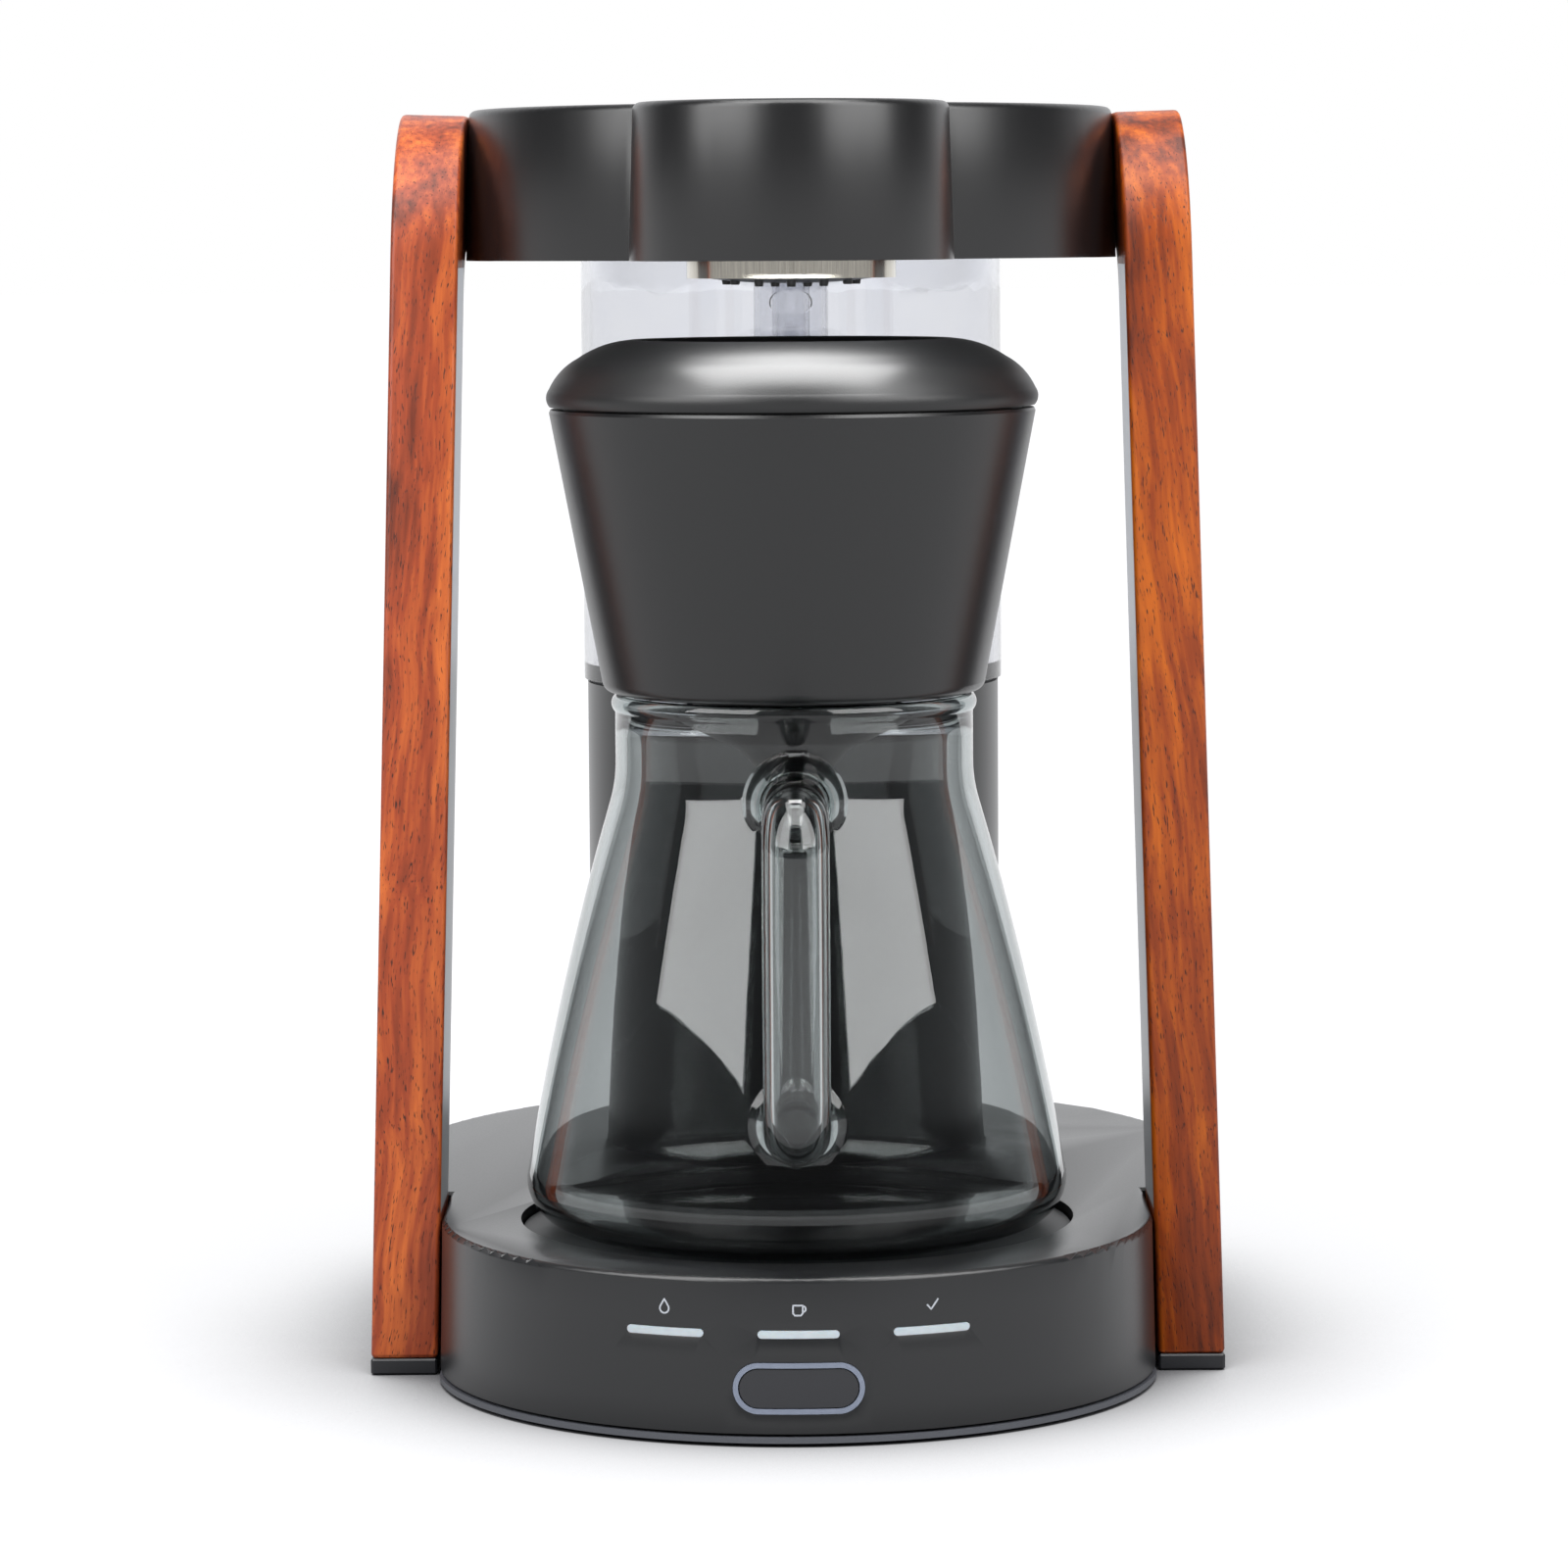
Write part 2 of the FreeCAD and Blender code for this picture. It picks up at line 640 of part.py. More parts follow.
def heater_tube():
    """Horseshoe of finned tube: it starts under the tank's outlet."""
    ring = Part.makeTorus(HEATER_R, 7.5, V(0, TANK_Y, HEATER_Z), UP, -180, 180, 260)
    ends = [rod(5.0, OUTLET[0], OUTLET[1], HEATER_Z, 74), rod(5.0, *HEATER_OUT, HEATER_Z, 74)]
    return fuse_all([ring] + ends)


def heater_bracket():
    plate = tube(HEATER_R + 9, HEATER_R - 9, 0, TANK_Y, HEATER_Z - 9.5, HEATER_Z - 7.5)
    legs = []
    for turn in (30, 150, 270):
        a = math.radians(turn)
        x, y = HEATER_R * math.cos(a), TANK_Y + HEATER_R * math.sin(a)
        legs.append(rod(3.0, x, y, BOSS_FOOT, HEATER_Z - 9))
    return fuse_all([plate] + legs)


def thermostat():
    return rod(8.0, 0, TANK_Y + HEATER_R, HEATER_Z + 7.5, HEATER_Z + 14)


def inlet_hose():
    x, y = OUTLET
    return Part.makeCompound([
        tube(6.5, 5.0, x, y, 74, 120),
        tube(6.5, 5.0, x, y, 142, TANK_BOTTOM),
    ])


def check_valve():
    x, y = OUTLET
    body = rod(8.5, x, y, 120, 142)
    return body.cut(rod(4.0, x, y, 119, 143))


def riser_hose():
    x, y = HEATER_OUT
    points = [(x, y, 74), (x, y, 108), (0, TANK_Y, 140), (0, TANK_Y, TANK_BOTTOM)]
    return pipe(points, 16.0, 6.5, 5.0)


# ---------------------------------------------------------------- filter holder
DRIPPER_LOW = 182.8
DRIPPER_TOP = 257.2


def dripper_body():
    outer = [
        *polyline([(32, DRIPPER_LOW), (47.6, DRIPPER_LOW)]),
        arc3((47.6, DRIPPER_LOW), (49.51, 183.49), (50.55, 185.25)),
        *polyline([
            (50.55, 185.25), (64.0, 256.4), (63.6, DRIPPER_TOP), (61.2, DRIPPER_TOP),
            (49.0, 190.2),
        ]),
        arc3((49.0, 190.2), (47.7, 187.0), (44.6, 185.8)),
        *polyline([(44.6, 185.8), (32, 185.8), (32, DRIPPER_LOW)]),
    ]
    ledge = [
        (60.4, 250.0), (58.0, 248.0), (55.0, 248.0), (55.0, 249.5), (60.5, 251.5),
    ]
    body = revolve(outer, CARAFE_Y)
    ring = revolve(polyline(ledge + ledge[:1]), CARAFE_Y)
    return body.fuse(ring).removeSplitter()


def filter_cone():
    """Paper-filter cone that hangs on the ledge, with a spout into the neck."""
    points = [
        (7.0, 158.5), (8.5, 161), (30.5, 183), (54.5, 249.6), (59.0, 251.4), (59.0, 252.4),
        (52.5, 252.0), (28.7, 184), (6.6, 161.9), (5.4, 158.5), (7.0, 158.5),
    ]
    cone = revolve(polyline(points), CARAFE_Y)
    lean_out = math.atan2(52.5 - 28.7, 252.0 - 184)
    for i in range(12):
        rib = block(-0.6, 0.6, -1.6, 0.6, 0, 62)
        rib.rotate(V(0, 0, 0), V(1, 0, 0), -math.degrees(lean_out))
        rib.translate(V(0, 29.9, 186.5))
        rib.rotate(V(0, 0, 0), UP, 30 * i)
        rib.translate(V(0, CARAFE_Y, 0))
        cone = cone.fuse(rib)
    return cone.removeSplitter()


def dripper_collar():
    outer = [
        *polyline([(60.2, 252.9), (60.4, 257.9), (63.9, 257.9)]),
        arc3((63.9, 257.9), (64.7, 259.8), (64.0, 262.4)),
        arc3((64.0, 262.4), (61.4, 266.5), (56.4, 270.5)),
        arc3((56.4, 270.5), (50.2, 273.7), (43.5, 275.2)),
        arc3((43.5, 275.2), (38.6, 274.4), (35.5, 271.2)),
        *polyline([(35.5, 271.2), (35.5, 268.6), (44.0, 271.0)]),
        arc3((44.0, 271.0), (55.0, 265.8), (57.4, 257.0)),
        *polyline([(57.4, 257.0), (57.4, 252.9), (60.2, 252.9)]),
    ]
    return revolve(outer, CARAFE_Y)


def dripper_gasket():
    return tube(46.4, 38.0, 0, CARAFE_Y, CARAFE_TOP + 0.1, DRIPPER_LOW)


# ---------------------------------------------------------------- carafe
CARAFE_LOW = PAD_TOP + 0.1
CARAFE_TOP = 182.3


def carafe_outer():
    """Outer line of the glass, from the punt under the foot up to the rim."""
    low = CARAFE_LOW
    return [
        *polyline([(0, low + 1.6), (20, low + 1.6), (54, low)]),
        arc3((54, low), (60.2, low + 0.55), (65.7, low + 2.5)),
        arc3((65.7, low + 2.5), (70.2, low + 7.0), (71.2, low + 16.8)),
        arc3((71.2, low + 16.8), (61.8, 103.9), (48.9, 153.5)),
        arc3((48.9, 153.5), (47.7, 158.8), (47.3, 164.2)),
        *polyline([(47.3, 164.2), (47.3, 177.6)]),
        arc3((47.3, 177.6), (48.2, 180.4), (47.0, CARAFE_TOP)),
    ]


def carafe_glass():
    low = CARAFE_LOW
    t = GLASS
    inner = [
        arc3((47.0, CARAFE_TOP), (45.4, 181.6), (44.9, 179.6)),
        *polyline([(44.9, 179.6), (44.9, 164.2)]),
        arc3((44.9, 164.2), (45.3, 158.2), (46.5, 152.9)),
        arc3((46.5, 152.9), (59.4, 103.4), (68.8, low + 16.8)),
        arc3((68.8, low + 16.8), (67.7, low + 8.4), (64.0, low + 4.8)),
        arc3((64.0, low + 4.8), (58.8, low + 3.2), (52, low + 2.7)),
        *polyline([(52, low + 2.7), (20, low + 1.6 + t), (0, low + 1.6 + t), (0, low + 1.6)]),
    ]
    return revolve(carafe_outer() + inner, CARAFE_Y)


def carafe_block():
    """The carafe's outside as one solid lump, for trimming the handle."""
    close = polyline([(47.0, CARAFE_TOP), (0, CARAFE_TOP), (0, CARAFE_LOW + 1.6)])
    return revolve(carafe_outer() + close, CARAFE_Y)


def carafe_handle():
    top, low, reach = 157.2, 77.0, -155.0
    points = [
        (0, CARAFE_Y - 44, top), (0, reach, top), (0, reach, low), (0, CARAFE_Y - 66, low),
    ]
    return pipe(points, HANDLE_BEND, HANDLE_R, HANDLE_R - 2.6).cut(carafe_block())


# ---------------------------------------------------------------- output
def build():
    """All nodes by name."""
    right_leg, right_liner, right_foot = leg(), leg_liner(), leg_foot()
    nodes = {
        "leg_right": right_leg,
        "leg_left": mirrored(right_leg),
        "leg_liner_right": right_liner,
        "leg_liner_left": mirrored(right_liner),
        "leg_foot_right": right_foot,
        "leg_foot_left": mirrored(right_foot),
        "indicator_lens_left": indicator_lens(-1),
        "indicator_lens_centre": indicator_lens(0),
        "indicator_lens_right": indicator_lens(1),
    }
    makers = (
        base_shell, base_plate, base_screws, base_feet, well_pad, button_light_ring,
        brew_button, control_board, tact_switch, power_board, cord_gland,
        base_leg_bolts, deck_leg_bolts, deck_shell, deck_cover, deck_screws,
        fill_neck, tank_lid, lid_seal, shower_ring, shower_plate, shower_manifold,
        water_channel, tank_shell, tank_upper_seal, tank_lower_seal, riser_tube,
        riser_sleeve, column_housing, heater_tube, heater_bracket, thermostat,
        inlet_hose, check_valve, riser_hose, dripper_body, filter_cone,
        dripper_collar, dripper_gasket, carafe_glass, carafe_handle,
    )
    for maker in makers:
        nodes[maker.__name__] = maker()
    return nodes


os.makedirs("parts", exist_ok=True)
for name, shape in build().items():
    assert shape.isValid(), name
    print(f"{name}: {len(shape.Solids)} solids, {shape.Volume / 1000:.2f} cm3")
    shape.exportStep(f"parts/{name}.step")
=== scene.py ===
"""Looks of a household drip coffee brewer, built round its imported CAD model.

Metres, in the CAD frame: +Z is up, the front faces -Y and +X is to the right of
someone who faces the front.
"""
import math

import bpy
from mathutils import Matrix, Quaternion, Vector


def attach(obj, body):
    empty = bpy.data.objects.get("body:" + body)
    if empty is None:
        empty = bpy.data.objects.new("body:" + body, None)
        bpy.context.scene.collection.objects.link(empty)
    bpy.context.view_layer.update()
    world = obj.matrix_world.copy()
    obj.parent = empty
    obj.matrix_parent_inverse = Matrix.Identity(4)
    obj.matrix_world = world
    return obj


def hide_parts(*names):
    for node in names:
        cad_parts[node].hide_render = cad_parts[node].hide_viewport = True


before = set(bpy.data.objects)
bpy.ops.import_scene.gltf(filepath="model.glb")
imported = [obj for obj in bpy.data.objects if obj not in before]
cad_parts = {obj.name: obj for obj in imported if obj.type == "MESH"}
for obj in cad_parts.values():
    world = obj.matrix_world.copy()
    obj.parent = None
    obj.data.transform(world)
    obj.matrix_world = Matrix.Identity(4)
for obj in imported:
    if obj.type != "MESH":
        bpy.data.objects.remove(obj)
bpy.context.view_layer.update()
MM = 0.001

# ---------------------------------------------------------- camera, floor and light
# A product table: a white sweep, a tall softbox on each side of the lens and one
# overhead, a little in front of the brewer. The white wall behind lights the glass.
CAMERA_AT = (-0.002774, -1.5676, 0.30235)
CAMERA_DOWN = math.radians(5.5)
CAMERA_ROLL = math.radians(-0.365)
LENS = 130.8
SIDE_TURN = math.radians(47)
SIDE_AWAY = 1.5
SIDE_WIDTH, SIDE_HEIGHT, SIDE_LOW = 1.30, 2.9, 0.47
SIDE_RADIANCE = 6.2
TOP_AT, TOP_WIDTH, TOP_DEEP, TOP_RADIANCE = (0, -0.5, 1.65), 1.3, 1.5, 5.0
CARD_AT, CARD_WIDTH, CARD_DEEP, CARD_RADIANCE = (0, -0.1235, 0.2925), 0.075, 0.033, 16.0
GREY_ROOM = (0.10, 0.10, 0.105, 1)
WHITE_WALL = (1.15, 1.16, 1.18, 1)
WALL_STARTS, WALL_FULL = 0.3, 0.8
SWEEP_SIZE = 60
SWEEP_NEAR, SWEEP_FAR = 0.25, 0.6
SHADOW_REACH = 0.12


def add(tree, kind, inputs=None, **settings):
    """A node of one kind, with its settings and its input values or links."""
    node = tree.nodes.new(kind)
    for key, value in settings.items():
        setattr(node, key, value)
    for socket, value in (inputs or {}).items():
        if isinstance(value, bpy.types.NodeSocket):
            tree.links.new(value, node.inputs[socket])
        else:
            node.inputs[socket].default_value = value
    return node


camera = bpy.data.objects.new("camera", bpy.data.cameras.new("camera"))
bpy.context.scene.collection.objects.link(camera)
camera.data.sensor_width = 36.0
camera.data.lens = LENS
camera.location = CAMERA_AT
camera.rotation_mode = "QUATERNION"
look = Vector((0, math.cos(CAMERA_DOWN), -math.sin(CAMERA_DOWN)))
roll = Quaternion((0, 0, 1), CAMERA_ROLL)
camera.rotation_quaternion = look.to_track_quat("-Z", "Y") @ roll
bpy.context.scene.camera = camera
bpy.context.scene.view_settings.view_transform = "Standard"


def softbox(name, at, turned, width, height, radiance):
    """Rectangular light of an even brightness."""
    lamp = bpy.data.lights.new(name, "AREA")
    lamp.shape = "RECTANGLE"
    lamp.size = width
    lamp.size_y = height
    lamp.energy = radiance * math.pi * width * height
    box = bpy.data.objects.new(name, lamp)
    box.location = at
    box.rotation_euler = turned
    box.visible_camera = False
    bpy.context.scene.collection.objects.link(box)


for side in (-1, 1):
    turn = side * SIDE_TURN
    place = (
        SIDE_AWAY * math.sin(turn), -SIDE_AWAY * math.cos(turn), SIDE_LOW + SIDE_HEIGHT / 2,
    )
    softbox(
        f"side_softbox_{side}", place, (math.pi / 2, 0, turn),
        SIDE_WIDTH, SIDE_HEIGHT, SIDE_RADIANCE,
    )
softbox("top_softbox", TOP_AT, (0, 0, 0), TOP_WIDTH, TOP_DEEP, TOP_RADIANCE)
# A card of light tucked under the deck's front picks out the top of the holder.
softbox("collar_light", CARD_AT, (0, 0, 0), CARD_WIDTH, CARD_DEEP, CARD_RADIANCE)

world = bpy.data.worlds.new("studio")
bpy.context.scene.world = world
world.use_nodes = True
room = world.node_tree
room.nodes.clear()
ways = add(room, "ShaderNodeTexCoord")
parts = add(room, "ShaderNodeSeparateXYZ", {0: ways.outputs["Generated"]})
behind = add(room, "ShaderNodeMapRange", {
    "Value": parts.outputs["Y"], "From Min": WALL_STARTS, "From Max": WALL_FULL,
}, interpolation_type="SMOOTHSTEP")
walls = add(room, "ShaderNodeMix", {
    0: behind.outputs[0], 6: GREY_ROOM, 7: WHITE_WALL,
}, data_type="RGBA")
wall_light = add(room, "ShaderNodeBackground", {"Color": walls.outputs[2], "Strength": 1.0})
plain_light = add(room, "ShaderNodeBackground", {"Color": (1, 1, 1, 1), "Strength": 1.0})
path = add(room, "ShaderNodeLightPath")
either = add(room, "ShaderNodeMixShader", {
    0: path.outputs["Is Camera Ray"], 1: wall_light.outputs[0], 2: plain_light.outputs[0],
})
add(room, "ShaderNodeOutputWorld", {"Surface": either.outputs[0]})

bpy.ops.object.select_all(action="DESELECT")
bpy.ops.mesh.primitive_plane_add(size=SWEEP_SIZE, location=(0, 0, -0.0002))
floor = bpy.context.object
floor.name = "table_sweep"
sweep = bpy.data.materials.new("matt_white_sweep")
# Matt white card: bright enough to lose its far edge, its glow rising from near the brewer to
# further out.
# Where something stands on it or close to it, the glow dims into a painted soft grey shadow.
sweep.use_nodes = True
card = sweep.node_tree
card.nodes.clear()
spot = add(card, "ShaderNodeTexCoord")
reach = add(card, "ShaderNodeVectorMath", {0: spot.outputs["Object"]}, operation="LENGTH")
far = add(card, "ShaderNodeMapRange", {
    "Value": reach.outputs["Value"], "From Min": SWEEP_NEAR, "From Max": SWEEP_FAR,
    "To Min": 0.90, "To Max": 1.02,
}, interpolation_type="SMOOTHSTEP")
# Painted shadow: ambient occlusion dims the card's glow close to things.
touch = add(card, "ShaderNodeAmbientOcclusion", {"Distance": SHADOW_REACH}, samples=12)
painted_shadow = add(card, "ShaderNodeMapRange", {
    "Value": touch.outputs["AO"], "From Min": 0.30, "From Max": 0.93,
})
lit = add(card, "ShaderNodeMath", {0: far.outputs[0], 1: painted_shadow.outputs[0]}, operation="MULTIPLY")
glow = add(card, "ShaderNodeEmission", {
    "Color": (0.985, 0.99, 1.0, 1), "Strength": lit.outputs[0],
})
matt = add(card, "ShaderNodeBsdfDiffuse", {"Color": (0.08, 0.08, 0.085, 1)})
both = add(card, "ShaderNodeAddShader", {0: glow.outputs[0], 1: matt.outputs[0]})
add(card, "ShaderNodeOutputMaterial", {"Surface": both.outputs[0]})
floor.data.materials.append(sweep)

# ---------------------------------------------------------- cast base
# The base is an aluminium pressure casting, linished and then powder coated in a
# satin charcoal. A round well is turned in its top for the carafe.
FRONT_R = 94.5 * MM
CARAFE_Y = -66.0 * MM
BASE_TOP = 42.5 * MM
BASE_LIP = 3.0 * MM


def linear(code):
    """An sRGB hex colour as linear RGBA."""
    shares = [int(code[i:i + 2], 16) / 255 for i in (1, 3, 5)]
    rgb = [((c + 0.055) / 1.055) ** 2.4 if c > 0.04045 else c / 12.92 for c in shares]
    return (*rgb, 1.0)


def finish(name, **values):
    """A new material, its shader's own values, and its tree and Object coordinates."""
    material = bpy.data.materials.new(name)
    material.use_nodes = True
    tree = material.node_tree
    shader = tree.nodes["Principled BSDF"]
    for socket, value in values.items():
        shader.inputs[socket.replace("_", " ")].default_value = value
    here = add(tree, "ShaderNodeTexCoord").outputs["Object"]
    return material, tree, shader, here


def coloured(tree, shader, pattern, low, high):
    """Base colour between two hex values, mixed by what a pattern node gives first."""
    shade = add(tree, "ShaderNodeValToRGB", {0: pattern.outputs[0]})
    shade.color_ramp.elements[0].color = linear(low)
    shade.color_ramp.elements[1].color = linear(high)
    tree.links.new(shade.outputs[0], shader.inputs["Base Color"])


def wear(node, material):
    """Puts a material on a CAD node's own slots."""
    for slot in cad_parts[node].material_slots:
        slot.material = material


def work_on(piece):
    """Only this piece is selected and active."""
    bpy.ops.object.select_all(action="DESELECT")
    piece.select_set(True)
    bpy.context.view_layer.objects.active = piece


def settle(piece, material, body, slot, *nodes):
    """Gives a finished piece its material and body and hides the CAD nodes it stands for. The slot
    is not used.
    """
    piece.data.materials.clear()
    piece.data.materials.append(material)
    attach(piece, body)
    if nodes:
        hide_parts(*nodes)


def eased(node, name, radius, crowded, turn=40):
    """A merged copy of a CAD node, its sharp edges eased to a small radius.

    Where the crowded test holds, cut-outs meet and the edges stay as they were cut.
    """
    piece = bpy.data.objects.new(name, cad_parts[node].data.copy())
    bpy.context.scene.collection.objects.link(piece)
    work_on(piece)
    bpy.ops.mesh.customdata_custom_splitnormals_clear()
    bpy.ops.object.mode_set(mode="EDIT")
    bpy.ops.mesh.select_all(action="SELECT")
    bpy.ops.mesh.remove_doubles(threshold=0.004 * MM)
    bpy.ops.mesh.dissolve_limited(angle_limit=math.radians(0.2))
    bpy.ops.mesh.select_mode(type="EDGE")
    bpy.ops.mesh.select_all(action="DESELECT")
    bpy.ops.mesh.edges_select_sharp(sharpness=math.radians(turn))
    bpy.ops.object.mode_set(mode="OBJECT")
    points = piece.data.vertices
    share = piece.data.attributes.new("bevel_weight_edge", "FLOAT", "EDGE")
    for edge in piece.data.edges:
        ends = [points[i].co for i in edge.vertices]
        share.data[edge.index].value = float(edge.select and not any(map(crowded, ends)))
    bpy.context.tool_settings.mesh_select_mode = (True, False, False)
    bevel = piece.modifiers.new("eased", "BEVEL")
    bevel.width = radius
    bevel.segments = 2
    bevel.limit_method = "WEIGHT"
    bevel.use_clamp_overlap = False
    bpy.ops.object.modifier_apply(modifier="eased")
    bpy.ops.object.shade_smooth_by_angle(angle=math.radians(25))
    return piece


powder_coat, tree, shader, here = finish(
    "charcoal_powder_coat_on_cast_aluminium", Roughness=0.42, IOR=1.52, Specular_IOR_Level=0.5,
)
# Polyester powder, sprayed and baked. It flows into a very fine orange peel about
# 0.6 mm across, which spreads every highlight into a soft satin glow.
PEEL = 1 / (0.6 * MM)
GRIT = 1 / (0.25 * MM)
peel = add(tree, "ShaderNodeTexNoise", {"Vector": here, "Scale": PEEL, "Detail": 2.0})
grit = add(tree, "ShaderNodeTexNoise", {"Vector": here, "Scale": GRIT, "Detail": 1.0})
coloured(tree, shader, grit, "#0f1011", "#151618")
uneven = add(tree, "ShaderNodeMapRange", {
    "Value": peel.outputs[0], "To Min": 0.28, "To Max": 0.35,
})
waves = add(tree, "ShaderNodeBump", {
    "Height": peel.outputs[0], "Strength": 0.12, "Distance": 0.05 * MM,
})
tree.links.new(uneven.outputs[0], shader.inputs["Roughness"])
tree.links.new(waves.outputs[0], shader.inputs["Normal"])

NOTCH_IN, NOTCH_Y, NOTCH_HALF = 80 * MM, -48 * MM, 24 * MM


def leg_notch(co):
    """Round the leg's notch and bolt holes in either side of the base."""
    return abs(co.x) > NOTCH_IN and abs(co.y - NOTCH_Y) < NOTCH_HALF


base_casting = eased("base_shell", "base_casting", 0.2 * MM, leg_notch)
settle(base_casting, powder_coat, "frame", "cast_charcoal", "base_shell")

# ---------------------------------------------------------- base plate and its feet
# A grey moulded plate closes the base from below. Six rubber discs are glued in its
# recesses and six zinc screws hold it to the casting's bosses.
plate_plastic, tree, shader, here = finish("grey_abs_moulding", Roughness=0.45)
# ABS from a spark-eroded tool: a faint even grain, slightly uneven in gloss.
grain = add(tree, "ShaderNodeTexNoise", {"Vector": here, "Scale": 1 / (0.4 * MM)})
coloured(tree, shader, grain, "#3c3e43", "#4a4c52")
dents = add(tree, "ShaderNodeBump", {
    "Height": grain.outputs[0], "Strength": 0.2, "Distance": 0.03 * MM,
})
tree.links.new(dents.outputs[0], shader.inputs["Normal"])
wear("base_plate", plate_plastic)

rubber, tree, shader, here = finish("matt_black_moulded_rubber", Roughness=0.75)
# Compression-moulded rubber: dull, with a slight bloom that greys it in patches.
bloom = add(tree, "ShaderNodeTexNoise", {"Vector": here, "Scale": 1 / (5 * MM), "Detail": 4.0})
coloured(tree, shader, bloom, "#17181a", "#26272a")
for node in ("base_feet", "cord_gland", "tank_upper_seal", "tank_lower_seal"):
    wear(node, rubber)

zinc, tree, shader, here = finish("bright_zinc_plated_steel", Metallic=1.0, Roughness=0.3)
# Zinc plating: a cool, slightly mottled grey metal.
mottle = add(tree, "ShaderNodeTexNoise", {"Vector": here, "Scale": 1 / (1.2 * MM), "Detail": 3.0})
coloured(tree, shader, mottle, "#9ea2a8", "#c9ccd0")
for node in ("base_screws", "deck_screws", "base_leg_bolts", "deck_leg_bolts"):
    wear(node, zinc)

# ---------------------------------------------------------- well pad
# A thin silicone disc lies in the well and keeps the hot glass off the metal.
silicone, tree, shader, here = finish("black_moulded_silicone", Roughness=0.5)
# Liquid silicone rubber: darker than the casting, with a low waxy sheen.
haze = add(tree, "ShaderNodeTexNoise", {"Vector": here, "Scale": 1 / (3 * MM), "Detail": 3.0})
coloured(tree, shader, haze, "#101112", "#1a1b1d")
for node in ("well_pad", "lid_seal", "dripper_gasket"):
    wear(node, silicone)

# ---------------------------------------------------------- light bars and brew button
# Three slim light bars show the three stages of a brew. They and the lit rim round
# the stadium-shaped button are pressed through the front wall from inside.
BAR_ANGLE = math.radians(20.85)
MARK_Z = 34.7 * MM
MARK_TALL = 3.6 * MM
WALL_GROWTH = 0.9 * MM

milky_with_painted_glow, tree, shader, here = finish(
    "milky_polycarbonate_painted_glow", Roughness=0.32, Subsurface_Weight=0.3, Emission_Strength=0.05,
)
# Polycarbonate with a white diffuser in it: pale, slightly cloudy and unlit, with a faint painted
# glow.
cloud = add(tree, "ShaderNodeTexNoise", {"Vector": here, "Scale": 1 / (2.5 * MM), "Detail": 2.0})
coloured(tree, shader, cloud, "#a09fa1", "#b0afb1")
# Painted glow: a faint near-white emission on lenses that are not lit.
shader.inputs["Emission Color"].default_value = linear("#e6e8ee")
for node in ("indicator_lens_left", "indicator_lens_centre", "indicator_lens_right"):
    wear(node, milky_with_painted_glow)

rim_plastic, tree, shader, here = finish("frosted_grey_polycarbonate", Roughness=0.36)
# The same plastic, frosted and seen unlit over a dark board: a blue-grey line.
cloud = add(tree, "ShaderNodeTexNoise", {"Vector": here, "Scale": 1 / (2.5 * MM), "Detail": 2.0})
coloured(tree, shader, cloud, "#5d6473", "#6f7685")
wear("button_light_ring", rim_plastic)

cap_plastic, tree, shader, here = finish("charcoal_abs_button", Roughness=0.4)
# ABS, spark-eroded like the plate but darker, to sit quietly in the casting.
grain = add(tree, "ShaderNodeTexNoise", {"Vector": here, "Scale": 1 / (0.3 * MM)})
coloured(tree, shader, grain, "#1a1b1e", "#222327")
dents = add(tree, "ShaderNodeBump", {
    "Height": grain.outputs[0], "Strength": 0.2, "Distance": 0.03 * MM,
})
tree.links.new(dents.outputs[0], shader.inputs["Normal"])
wear("brew_button", cap_plastic)

ink, tree, shader, here = finish("pad_printed_grey_ink", Roughness=0.5)
# Two-part ink laid by a silicone pad, a few hundredths of a millimetre thick.
speckle = add(tree, "ShaderNodeTexNoise", {"Vector": here, "Scale": 1 / (0.3 * MM)})
coloured(tree, shader, speckle, "#8e9299", "#a0a4aa")


def stroke(points, width, closed=False):
    """A flat line of even width through (x, z) points, on the plane y = 0."""
    bpy.ops.mesh.primitive_plane_add(size=1)
    line = bpy.context.object
    bpy.ops.object.mode_set(mode="EDIT")
    bpy.ops.mesh.select_all(action="SELECT")
    bpy.ops.mesh.merge(type="CENTER")
    bpy.ops.transform.translate(value=(points[0][0], 0, points[0][1]))
    for a, b in zip(points, points[1:]):
        step = (b[0] - a[0], 0, b[1] - a[1])
        bpy.ops.mesh.extrude_region_move(TRANSFORM_OT_translate={"value": step})
    if closed:
        bpy.ops.mesh.select_all(action="SELECT")
        bpy.ops.mesh.remove_doubles(threshold=0.02 * MM)
    bpy.ops.mesh.select_all(action="SELECT")
    bpy.ops.object.mode_set(mode="OBJECT")
    skin = line.modifiers.new("width", "SKIN")
    for v in line.data.skin_vertices[0].data:
        v.radius = (width / 2, width / 2)
    bpy.ops.object.modifier_apply(modifier=skin.name)
    return line


def ring_points(cx, cz, r, first, last, count):
    """Points along an arc, in degrees from +X."""
    turns = [math.radians(first + (last - first) * i / count) for i in range(count + 1)]
    return [(cx + r * math.cos(t), cz + r * math.sin(t)) for t in turns]


